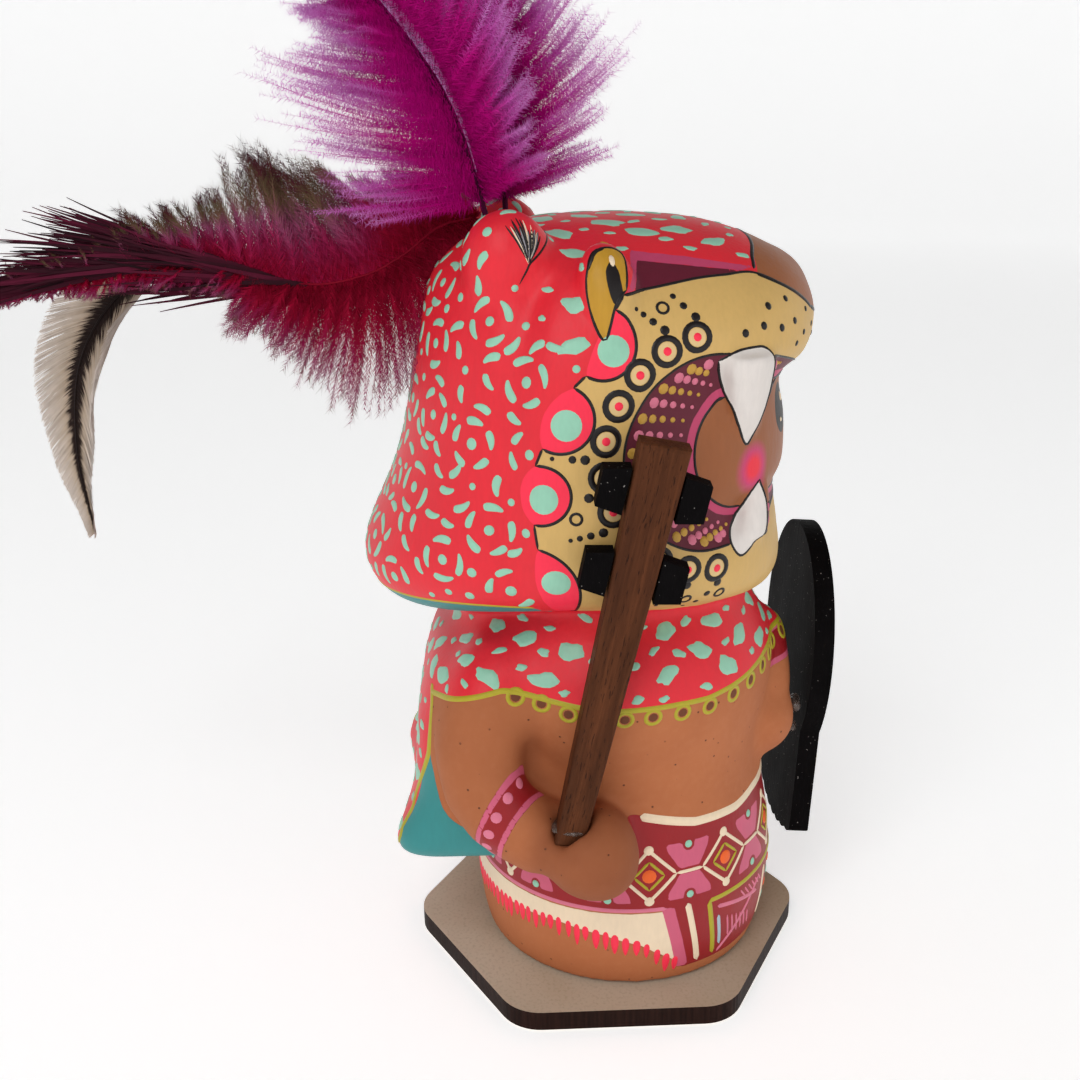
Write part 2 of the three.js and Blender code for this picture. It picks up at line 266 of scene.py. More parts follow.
def voxel_skin(obj: Object, voxel: float) -> None:
    """Adds a closed skin to an object.

    Args:
        obj: the object.
        voxel: how fine the skin is, in millimetres.
    """
    skin = obj.modifiers.new("skin", "REMESH")
    skin.mode = "VOXEL"
    skin.voxel_size = voxel * MM


def smoothing(obj: Object, iterations: int, weights: Array | None = None) -> None:
    """Adds a smoothing to an object.

    Args:
        obj: the object.
        iterations: how often it is smoothed.
        weights: how much each point takes part, from 0 to 1.
    """
    soft = obj.modifiers.new("soft", "SMOOTH")
    soft.factor = 0.5
    soft.iterations = iterations
    if weights is None:
        return
    group = obj.vertex_groups.new(name="soft")
    steps = np.round(weights * LEVELS)
    for level in range(1, LEVELS + 1):
        members = np.flatnonzero(steps == level).tolist()
        if members:
            group.add(members, level / LEVELS, "REPLACE")
    soft.vertex_group = group.name


def settled(obj: Object) -> None:
    """Applies every modifier of an object to its mesh.

    Args:
        obj: the object.
    """
    graph = bpy.context.evaluated_depsgraph_get()
    mesh = bpy.data.meshes.new_from_object(obj.evaluated_get(graph))
    obj.modifiers.clear()
    obj.data = mesh


def shade_smooth(mesh: Mesh) -> None:
    """Shades all faces smooth."""
    mesh.polygons.foreach_set("use_smooth", [True] * len(mesh.polygons))


def attach(obj: Object, slot: str, *nodes: str) -> None:
    """Makes a piece ride with the figurine.

    Args:
        obj: the piece.
        slot: not used.
        nodes: the solids that it stands for.
    """
    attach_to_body(obj, "root")
    if nodes:
        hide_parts(*nodes)
    LOG.info("%s: %d faces", obj.name, len(obj.data.polygons))


class Wire:
    """A material socket that takes Python arithmetic."""

    def __init__(self, graph: "Graph", socket: bpy.types.NodeSocket) -> None:
        """Wraps an output socket of a graph."""
        self.graph = graph
        self.socket = socket

    def _maths(self, operation: str, first: "Value", second: "Value" = 0.0) -> "Wire":
        """Adds a Math node and returns its output."""
        return self.graph.node("ShaderNodeMath", {"operation": operation}, {0: first, 1: second})

    def __add__(self, other: "Value") -> "Wire":
        """Adds."""
        return self._maths("ADD", self, other)

    __radd__ = __add__

    def __sub__(self, other: "Value") -> "Wire":
        """Subtracts the other from this."""
        return self._maths("SUBTRACT", self, other)

    def __rsub__(self, other: "Value") -> "Wire":
        """Subtracts this from the other."""
        return self._maths("SUBTRACT", other, self)

    def __mul__(self, other: "Value") -> "Wire":
        """Multiplies."""
        return self._maths("MULTIPLY", self, other)

    __rmul__ = __mul__

    def above(self, edge: "Value", width: float) -> "Wire":
        """Returns 0 below an edge and 1 above it, with a soft step of the given width."""
        step = (self - edge) * (1 / width) + 0.5
        return self.graph.node("ShaderNodeClamp", {}, {"Value": step})

    def most(self, other: "Value") -> "Wire":
        """Returns the greater of the two."""
        return self._maths("MAXIMUM", self, other)

    def size(self) -> "Wire":
        """Returns the value without its sign."""
        return self._maths("ABSOLUTE", self)


Value = Wire | float | Colour


class Graph:
    """The node tree of one material, with one Principled shader."""

    def __init__(self, name: str, mirrors: float = 0.3) -> None:
        """Makes an empty material.

        Args:
            name: its name.
            mirrors: how strongly its surface mirrors.
        """
        self.material = bpy.data.materials.new(name)
        self.material.use_nodes = True
        self.nodes = self.material.node_tree.nodes
        self.links = self.material.node_tree.links
        self.shader = self.nodes["Principled BSDF"]
        self.shader.inputs["Specular IOR Level"].default_value = mirrors

    def connect(self, target: bpy.types.NodeSocket, value: Value) -> None:
        """Links a wire to a socket, or sets the socket to a plain value.

        Args:
            target: the socket.
            value: the wire, number or colour.
        """
        if isinstance(value, Wire):
            self.links.new(value.socket, target)
        elif isinstance(value, tuple) and target.type == "RGBA":
            target.default_value = (*value, 1.0)
        else:
            target.default_value = value

    def node(self, kind: str, settings: dict, sockets: dict, output: str | int = 0) -> Wire:
        """Adds a node.

        Args:
            kind: the node's type.
            settings: its own properties, set first. A list of stops fills its colour ramp.
            sockets: values or wires for its inputs, by name or place.
            output: the output to return.

        Returns:
            The chosen output.
        """
        made = self.nodes.new(kind)
        for key, value in settings.items():
            if key == "stops":
                self._ramp(made.color_ramp, value)
            else:
                setattr(made, key, value)
        for key, value in sockets.items():
            self.connect(made.inputs[key], value)
        return Wire(self, made.outputs[output])

    @staticmethod
    def _ramp(ramp: bpy.types.ColorRamp, stops: Sequence[tuple[float, Colour]]) -> None:
        """Sets a ramp's stops.

        Args:
            ramp: the ramp.
            stops: positions and colours in order.
        """
        while len(ramp.elements) < len(stops):
            ramp.elements.new(0.5)
        for element, (position, colour) in zip(ramp.elements, stops):
            element.position = position
            element.color = (*colour, 1.0)

    def mix(self, share: Value, first: Value, second: Value) -> Wire:
        """Mixes two colours by a share of the second."""
        return self.node("ShaderNodeMix", {"data_type": "RGBA"}, {0: share, 6: first, 7: second}, 2)

    def tint(self, colour: Value, strength: Value) -> Wire:
        """Brightens or darkens a colour by a factor."""
        return self.node("ShaderNodeVectorMath", {"operation": "SCALE"}, {0: colour, "Scale": strength})

    def place(self) -> Wire:
        """Returns the point in the piece's own coordinates, in metres."""
        return self.node("ShaderNodeTexCoord", {}, {}, "Object")

    def field(self, name: str) -> Wire:
        """Returns a number stored on the mesh."""
        return self.node("ShaderNodeAttribute", {"attribute_name": name}, {}, "Fac")

    def noise(self, size: float, detail: float = 3.0, where: Value | None = None) -> Wire:
        """Adds soft noise.

        Args:
            size: what its lumps measure, in millimetres.
            detail: how many finer layers it has.
            where: the point that it is read at, else the piece's own.

        Returns:
            A value from 0 to 1.
        """
        where = where or self.place()
        sockets = {"Vector": where, "Scale": 1 / (size * MM), "Detail": detail}
        return self.node("ShaderNodeTexNoise", {}, sockets, "Fac")

    def stretched(self, scale: Sequence[float], turn: Sequence[float] = (0, 0, 0)) -> Wire:
        """Returns the point turned and then scaled along each axis."""
        turned = self.node("ShaderNodeMapping", {}, {"Vector": self.place(), "Rotation": tuple(turn)})
        return self.node("ShaderNodeMapping", {}, {"Vector": turned, "Scale": tuple(scale)})

    def bump(self, height: Wire, depth: float, strength: float = 1.0) -> Wire:
        """Returns a normal raised by a height of depth millimetres."""
        sockets = {"Strength": strength, "Distance": depth * MM, "Height": height}
        return self.node("ShaderNodeBump", {}, sockets)

    def dress(self, **sockets: Value) -> bpy.types.Material:
        """Sets the shader's sockets.

        Args:
            sockets: their names, with underscores for spaces, and values.

        Returns:
            The material.
        """
        for key, value in sockets.items():
            self.connect(self.shader.inputs[key.replace("_", " ")], value)
        return self.material


@dataclass(frozen=True)
class PaintFinish:
    """Hand-laid acrylic: an even colour with a little mottling and brush drag."""

    name: str
    colour: Colour
    roughness: float = 0.42
    mottle: float = 0.16

    def material(self) -> bpy.types.Material:
        """Returns the paint's material."""
        graph = Graph(self.name)
        cloud = graph.noise(2.6, 3.0)
        drag = graph.noise(0.5, 2.0, graph.stretched((1.0, 1.0, 0.35)))
        shade = (cloud - 0.5) * self.mottle + (drag - 0.5) * (0.7 * self.mottle) + 1.0
        return graph.dress(
            Base_Color=graph.tint(self.colour, shade),
            Roughness=(drag - 0.5) * 0.2 + self.roughness,
            Normal=graph.bump(drag, 0.05),
        )


RED = rgb(226, 38, 52)
MINT = rgb(148, 202, 176)
BLACK = rgb(24, 18, 18)
CRIMSON = rgb(150, 24, 30)
CREAM = rgb(236, 214, 184)
PINK = rgb(205, 92, 120)
OLIVE = rgb(176, 164, 40)
TAN = rgb(208, 170, 102)
MAROON = rgb(96, 22, 42)
RING_PINK = rgb(190, 66, 104)
BROWN = rgb(152, 90, 52)
OCHRE = rgb(190, 142, 42)
TEAL = rgb(52, 136, 136)
HOT_RED = rgb(250, 46, 76)
IVORY = rgb(226, 218, 212)
TERRACOTTA = rgb(184, 110, 68)


class Region(Enum):
    """The painted areas of the clay, in the order in which they are laid."""

    RED = ("area_red", RED)
    TEAL = ("area_teal", TEAL)
    CRIMSON = ("area_crimson", CRIMSON)
    CREAM = ("area_cream", CREAM)
    PINK = ("area_pink", PINK)
    TAN = ("area_tan", TAN)
    SCALLOP = ("area_scallop", HOT_RED)
    MAROON = ("area_maroon", MAROON)
    RING = ("area_ring", RING_PINK)
    BROWN = ("area_brown", BROWN)
    HALO = ("area_halo", rgb(200, 60, 110))
    BLUSH = ("area_blush", rgb(238, 40, 60))
    OCHRE = ("area_ochre", OCHRE)
    BLACK = ("area_black", BLACK)
    IVORY = ("area_ivory", IVORY)


SOFT_EDGED = {Region.HALO: 1.5, Region.BLUSH: 1.2}


@dataclass(frozen=True)
class ClayFinish:
    """Fired clay with fine pits, under brushed acrylic areas that end at hand-painted edges."""

    name: str = "painted_clay"
    edge: float = 0.07
    waver: float = 0.22

    def material(self) -> bpy.types.Material:
        """Returns the clay's material, which reads the areas stored on the mesh."""
        graph = Graph(self.name)
        broad = graph.noise(9.0, 3.0)
        fine = graph.noise(1.1, 4.0)
        drag = graph.noise(0.6, 2.0, graph.stretched((1.0, 1.0, 0.3)))
        waver = (graph.noise(1.8, 2.0) - 0.5) * self.waver
        pits = self._pits(graph)
        bare = graph.mix(broad.above(0.5, 0.5), TERRACOTTA, rgb(174, 101, 61))
        bare = graph.mix(fine.above(0.62, 0.3) * 0.2, bare, rgb(194, 124, 84))
        # painted shade over the right arm and hand, with a glue stain on the hand
        shade_and_glue_stain = graph.field("shade_and_glue_stain") * ((broad - 0.5) * 0.8 + 0.9)
        bare = graph.mix(shade_and_glue_stain * 0.85, bare, rgb(140, 78, 46))
        # the pits' dark colour is painted shade in the tiny holes
        colour = graph.mix(pits * 0.8, bare, rgb(72, 42, 32))
        painted: Value = 0.0
        for region in Region:
            name, paint = region.value
            width = SOFT_EDGED.get(region, self.edge)
            mask = (graph.field(name) + waver).above(0.0, width)
            shade = (broad - 0.5) * 0.16 + (drag - 0.5) * 0.14 + 1.0
            colour = graph.mix(mask, colour, graph.tint(paint, shade))
            painted = mask if isinstance(painted, float) else mask.most(painted)
        height = drag * 0.5 * painted + painted * 1.0 + (fine * 0.25 - pits * 1.6) * (1 - painted)
        return graph.dress(
            Base_Color=colour,
            Roughness=0.74 - painted * 0.28 + (drag - 0.5) * 0.16,
            Normal=graph.bump(height, 0.07),
        )

    @staticmethod
    def _pits(graph: Graph) -> Wire:
        """Scatters small pits over the bare clay.

        Args:
            graph: the clay's graph.

        Returns:
            1 in a pit and 0 beside it.
        """
        cells = graph.node("ShaderNodeTexVoronoi", {}, {"Vector": graph.place(), "Scale": 560.0}, "Distance")
        sparse = graph.noise(3.0, 1.0).above(0.42, 0.1)
        return (0.085 - cells).above(0.0, 0.03) * sparse


class Surface:
    """A finished skin that paint can be laid on."""

    def __init__(self, obj: Object) -> None:
        """Reads the skin of an object.

        Args:
            obj: the object.
        """
        points = vertices_of(obj.data)
        faces = [tuple(face.vertices) for face in obj.data.polygons]
        self.tree = BVHTree.FromPolygons(points.tolist(), faces)

    def nearest(self, point: Vector) -> tuple[Vector, Vector]:
        """Returns the skin's nearest point and its normal there."""
        place, normal, _, _ = self.tree.find_nearest(point)
        return place, normal

    def at(self, turn: float, height: float, side: int = -1, outward: bool = False) -> Vector:
        """Finds the skin at a turn about the head's axis and a height.

        Args:
            turn: degrees from the front.
            height: above the underside of the base.
            side: which half, from SIDES.
            outward: looks from the axis outwards, so that an arm in front is passed by.

        Returns:
            The point on the skin.
        """
        angle = math.radians(turn)
        way = Vector((side * math.sin(angle), -math.cos(angle), 0.0))
        axis = Vector((0.0, AXIS_Y, height))
        start, way = (axis, way) if outward else (axis + way * 70, -way)
        hit, _, _, _ = self.tree.ray_cast(start, way)
        return hit if hit is not None else self.nearest(axis + way * 20)[0]

    def line(self, places: Array | Sequence[Place], side: int = -1, outward: bool = False) -> list[Vector]:
        """Returns the skin's points along places given as turn and height."""
        return [self.at(turn, height, side, outward) for turn, height in places]


class Dab(Enum):
    """The shapes of a touch of paint."""

    DOT = "dot"
    RING = "ring"


def inset(bm: bmesh.types.BMesh, sides: int, depth: float) -> list[bmesh.types.BMFace]:
    """Insets the one face that has many sides.

    Args:
        bm: the shape.
        sides: how many sides it has.
        depth: how far it is inset.

    Returns:
        The face that is left in its middle.
    """
    middle = [f for f in bm.faces if len(f.verts) == sides]
    bmesh.ops.inset_region(bm, faces=middle, thickness=depth, use_boundary=True, use_even_offset=True)
    return [f for f in bm.faces if len(f.verts) == sides]


def dab_mesh(kind: Dab, sides: int) -> Mesh:
    """Makes a touch of paint of radius 1 whose height is in millimetres.

    Args:
        kind: a filled dot or an open ring.
        sides: corners of its outline.

    Returns:
        The template mesh, lying flat with its rim sunk a little.
    """
    sunk, shoulder, crown = -0.06, 0.07, 0.1
    bm = bmesh.new()
    bmesh.ops.create_circle(bm, cap_ends=True, segments=sides, radius=1.0)
    if kind is Dab.DOT:
        inset(bm, sides, 0.17)
        bmesh.ops.poke(bm, faces=inset(bm, sides, 0.4))
        heights = ((0.95, sunk), (0.75, shoulder), (0.0, crown))
    else:
        inset(bm, sides, 0.12)
        inset(bm, sides, 0.24)
        bmesh.ops.delete(bm, geom=inset(bm, sides, 0.1), context="FACES_ONLY")
        heights = ((0.95, sunk), (0.6, crown), (0.0, sunk))
    for vert in bm.verts:
        out = math.hypot(vert.co.x, vert.co.y)
        vert.co.z = next(height for edge, height in heights if out >= edge)
    return mesh_of(bm, kind.value)


def strip_mesh(length: int, width: int) -> Mesh:
    """Makes a flat strip that runs from 0 to 1 along X and from -1 to 1 along Y.

    Args:
        length: its faces along X.
        width: its faces along Y.

    Returns:
        The template mesh.
    """
    bm = bmesh.new()
    bmesh.ops.create_grid(bm, x_segments=length, y_segments=width, size=1.0)
    for vert in bm.verts:
        vert.co.x = (vert.co.x + 1) / 2
    return mesh_of(bm, "strip")


def raw(mesh: Mesh) -> Array:
    """Returns a template's points in its own unit."""
    return vertices_of(mesh) * MM


class Brush:
    """Lays raised strokes of one paint on a surface and makes them one piece."""

    ACROSS = 4

    def __init__(self, name: str, finish: PaintFinish, surface: Surface) -> None:
        """Starts with no strokes.

        Args:
            name: the piece's name.
            finish: its paint.
            surface: what it is laid on.
        """
        self.name = name
        self.finish = finish
        self.surface = surface
        self.bm = bmesh.new()
        self.points: list[Array] = []
        self.templates: dict[tuple, Mesh] = {}

    def _template(self, key: tuple, make: Callable[[], Mesh]) -> Mesh:
        """Keeps templates, so that each is made once.

        Args:
            key: what tells it apart.
            make: makes it.

        Returns:
            The template.
        """
        if key not in self.templates:
            self.templates[key] = make()
        return self.templates[key]

    def dab(self, centre: Vector, size: float, kind: Dab = Dab.DOT, along: Vector | None = None,
            warp: Warp | None = None, sides: int = 12, lift: float = 1.0) -> None:
        """Lays one touch of paint.

        Args:
            centre: where it is laid.
            size: its radius, or the unit of the warped shape.
            kind: dot or ring.
            along: the direction of the shape's first axis.
            warp: bends the flat unit shape.
            sides: corners of its outline.
            lift: scales its thickness.
        """
        mesh = self._template((kind, sides), lambda: dab_mesh(kind, sides))
        shape = raw(mesh)
        if warp is not None:
            shape[:, :2] = warp(shape[:, :2])
        centre, normal = self.surface.nearest(centre)
        along = along if along is not None else Vector((0, 0, 1)).cross(normal)
        across = normal.cross(along).normalized()
        along = across.cross(normal)
        placed = []
        for u, v, height in shape:
            place, out = self.surface.nearest(centre + along * (u * size) + across * (v * size))
            placed.append(place + out * (height * lift))
        self.bm.from_mesh(mesh)
        self.points.append(np.array(placed))

    def stroke(self, line: Sequence[Vector], width: float, lift: float = 0.1, taper: float = 0.6,
               step: float = 0.5) -> None:
        """Draws a stroke along a line on the surface.

        Args:
            line: points near the surface.
            width: its full width.
            lift: height of its crown.
            taper: length over which each end narrows.
            step: length of its pieces.
        """
        path = np.array([tuple(p) for p in line])
        length = float(lengths(np.diff(path, axis=0)).sum())
        count = max(6, int(length / step))
        path = spread(path, count + 1)
        mesh = self._template((count,), lambda: strip_mesh(count, self.ACROSS))
        ahead = np.gradient(path, axis=0)
        frames = []
        for k in range(count + 1):
            centre, normal = self.surface.nearest(Vector(path[k]))
            across = normal.cross(Vector(ahead[k])).normalized()
            end = min(k, count - k) * length / count
            grown = math.sqrt(max(0.0, 1 - (1 - min(end / max(taper, 1e-6), 1.0)) ** 2))
            frames.append((centre, across, max(0.12, grown) * width / 2))
        placed = []
        for s, v, _ in raw(mesh):
            centre, across, half = frames[round(s * count)]
            place, out = self.surface.nearest(centre + across * (v * half))
            placed.append(place + out * (lift * (1 - abs(v) ** 2.5) - 0.05 * (abs(v) > 0.9)))
        self.bm.from_mesh(mesh)
        self.points.append(np.array(placed))

    def finish_piece(self, slot: str = "painted_clay") -> None:
        """Makes the piece.

        Args:
            slot: its material slot.
        """
        mesh = mesh_of(self.bm, self.name)
        write_vertices(mesh, np.vstack(self.points))
        shade_smooth(mesh)
        mesh.materials.append(self.finish.material())
        attach(new_object(self.name, mesh), slot)


@dataclass(frozen=True)
class MouthOutline:
    """A closed outline round the open mouth: straight by the lips, round at the corner."""

    corner: float
    reach: float
    side: float
    front: float
    height: float = 84.0
    drop: float = 0.9

    def value(self, arc: Array, height: Array) -> Array:
        """Tells where points lie.

        Args:
            arc: millimetres round from the front.
            height: above the underside of the base.

        Returns:
            1 on the outline and less inside it.
        """
        at_side = smooth_step(arc, 0.0, self.corner)
        half = self.front + (self.side - self.front) * at_side
        middle = self.height - self.drop * (1 - at_side)
        across = np.maximum(arc - self.corner, 0.0) / self.reach
        return np.hypot(across, (height - middle) / half)

    def place(self, share: float, grown: float = 0.0) -> Place:
        """Returns turn and height of a point on the outline.

        Args:
            share: 0 at the front of the upper lip, 1 at the front of the lower lip.
            grown: distance outside the outline.

        Returns:
            The place.
        """
        reach, side = self.reach + grown, self.side + grown
        bend = math.pi / 2 * (reach + side)
        total = 2 * self.corner + bend
        run = share * total
        if run < self.corner or run > total - self.corner:
            arc = run if run < self.corner else total - run
            at_side = float(smooth_step(arc, 0.0, self.corner))
            half = self.front + grown + (self.side - self.front) * at_side
            middle = self.height - self.drop * (1 - at_side)
            return math.degrees(arc / ARC), middle + half * (1 if run < self.corner else -1)
        angle = math.pi / 2 - (run - self.corner) / bend * math.pi
        arc = self.corner + reach * math.cos(angle)
        return math.degrees(arc / ARC), self.height + side * math.sin(angle)


# Outlines on the helmet, as turn in degrees from the front and height
GUM = MouthOutline(28.8, 12.6, 12.5, 8.9)
FACE = MouthOutline(23.4, 8.2, 7.9, 7.6)
TAN_TOP = ((18.8, 100.1), (27.9, 102.9), (38.5, 105.3), (50.2, 105.4), (61.7, 105.2), (77.7, 104.4),
           (87.6, 104.0))
LOBES = (
    ((90.0, 102.4), (84.3, 97.8), (97.8, 94.8)),
    ((100.9, 93.4), (95.4, 89.4), (108.6, 86.0)),
    ((110.4, 83.8), (101.2, 79.8), (110.6, 76.4)),
    ((109.6, 73.2), (99.6, 68.6), (104.6, 61.8)),
)
DISCS = ((90.5, 97.6, 2.1), (102.6, 88.9, 2.1), (108.2, 79.7, 2.05), (105.4, 68.6, 2.05))
UPPER_FANG = ((60.2, 95.6), (55.8, 96.6), (50.0, 96.9), (45.4, 96.6), (44.4, 94.4), (45.6, 90.0),
              (48.0, 86.6), (50.6, 84.6), (53.4, 86.2), (56.6, 89.8), (58.8, 93.2))
LOWER_FANG = ((44.0, 79.4), (46.6, 78.2), (50.0, 75.4), (54.2, 72.0), (51.6, 69.8), (47.3, 70.4),
              (43.2, 72.6), (42.6, 76.0))
EYE = ((86.6, 104.6), (86.0, 106.6), (86.4, 108.2), (88.8, 109.0), (92.4, 109.3), (96.0, 108.8),
       (97.9, 106.8), (98.0, 104.6), (96.9, 102.2), (95.2, 100.2), (93.4, 98.9), (92.2, 99.0),
       (91.2, 100.6), (90.0, 102.8), (88.2, 104.0))
PUPIL = ((91.0, 108.1), (92.4, 107.0), (92.3, 105.7), (91.5, 104.2), (90.4, 103.1), (88.9, 103.1),
         (87.7, 104.1), (88.2, 105.6), (88.9, 107.0))
BROW = ((86.4, 104.3), (80.6, 108.4), (59.3, 107.6), (36.4, 106.0), (46.7, 105.5), (61.7, 105.2))
BROW_INSIDE = ((84.3, 104.2), (79.4, 107.4), (62.0, 106.7), (42.1, 105.7), (46.7, 105.5), (61.7, 105.2))
FANGS = (UPPER_FANG, LOWER_FANG)
# Height and depth of the line where the cape's side turns into its back
CAPE_EDGE = ((23.0, 31.5), (26.0, 31.8), (28.5, 31.1), (31.2, 29.6), (36.3, 28.1), (40.5, 26.9),
             (47.8, 26.2))
# Turn and height of the belt's upper and the skirt's lower edge
BELT_TOP = ((0, 29.4), (27.6, 29.9), (39.6, 29.3), (58.6, 29.8), (81.4, 32.2), (180, 32.2))
SKIRT_LOW = ((62, 6.2), (66.6, 7.6), (78.3, 10.9), (91.4, 12.6), (108.3, 13.6), (130, 13.2), (180, 12.6))
# Turns of the hanging loops, and turn and height of the hem that they hang from
LOOPS = (118.4, 111.2, 103.0, 94.7, 86.4, 77.8, 68.2, 58.2, 48.1, 38.6, 29.2, 20.0, 11.4, 3.4)
HEM = ((0, 52.0), (26, 51.6), (44.8, 50.4), (59.2, 49.8), (69.2, 50), (93.6, 50.1), (103.3, 50.7),
       (111.2, 51.2), (121.8, 52.3), (147, 48.7), (180, 47))


@dataclass
class ClayForm:
    """Sizes of the clay that its painted areas are set out from, in the same frame as the solid."""

    torso_front: tuple[Place, ...] = ((3.3, 23.6), (8, 24.9), (18, 25.5), (29, 23.6), (37, 23), (47, 24.3))
    torso_back: tuple[Place, ...] = ((3.3, 19.4), (8, 20.4), (18, 20.8), (29, 20.2), (37, 21), (47, 25))
    torso_half: tuple[Place, ...] = ((3.3, 21.6), (8, 22.8), (18, 23.4), (29, 22.4), (37, 22.4), (47, 25.6))
    torso_middle: float = -2.0
    torso_reach: float = 22.0
    right_arm: tuple = ((-13, 13, 55, 8.5), (-19.6, 19.2, 46.5, 6.8), (-22.8, 18.8, 36.5, 6.0),
                        (-24.2, 12.5, 31, 5.4), (-25.4, 4, 28.4, 5.6), (-27.0, 3.6, 28.4, 7.0))
    left_arm: tuple = ((16, -4, 52, 7.5), (17, -15, 43, 7.0), (8, -20.4, 37.4, 7.0), (-3, -21.6, 37.6, 6.8),
                       (-1, -22.2, 45, 5.6), (3, -21.4, 54, 5.2))
    crease: tuple[Place, ...] = ((0, 60.4), (90, 62.6), (125, 61.5), (180, 58.0))

    def off_torso(self, points: Array) -> Array:
        """Measures from the plain torso.

        Args:
            points: in millimetres.

        Returns:
            Roughly how far they stand off it.
        """
        height = points[:, 2]
        half = np.interp(height, *zip(*self.torso_half))
        front = np.interp(height, *zip(*self.torso_front))
        back = np.interp(height, *zip(*self.torso_back))
        middle = self.torso_middle
        depth = np.where(points[:, 1] < middle, front + middle, back - middle)
        radius = np.hypot(points[:, 0] / half, (points[:, 1] - middle) / depth)
        return (radius - 1) * self.torso_reach

    @staticmethod
    def off_limb(points: Array, limb: tuple) -> Array:
        """Measures from a limb.

        Args:
            points: in millimetres.
            limb: its centres and radii in order.

        Returns:
            How far the points stand off it.
        """
        best = np.full(len(points), FAR)
        for a, b in zip(np.array(limb, dtype=float), np.array(limb[1:], dtype=float)):
            along = b[:3] - a[:3]
            t = np.clip((points - a[:3]) @ along / (along @ along), 0, 1)
            nearest = a[:3] + t[:, None] * along
            radius = a[3] + (b[3] - a[3]) * t
            best = np.minimum(best, lengths(points - nearest) - radius)
        return best

    def above_crease(self, points: Array) -> Array:
        """Returns the height above the crease between the helmet and the cowl."""
        return points[:, 2] - np.interp(turn_of(points), *zip(*self.crease))


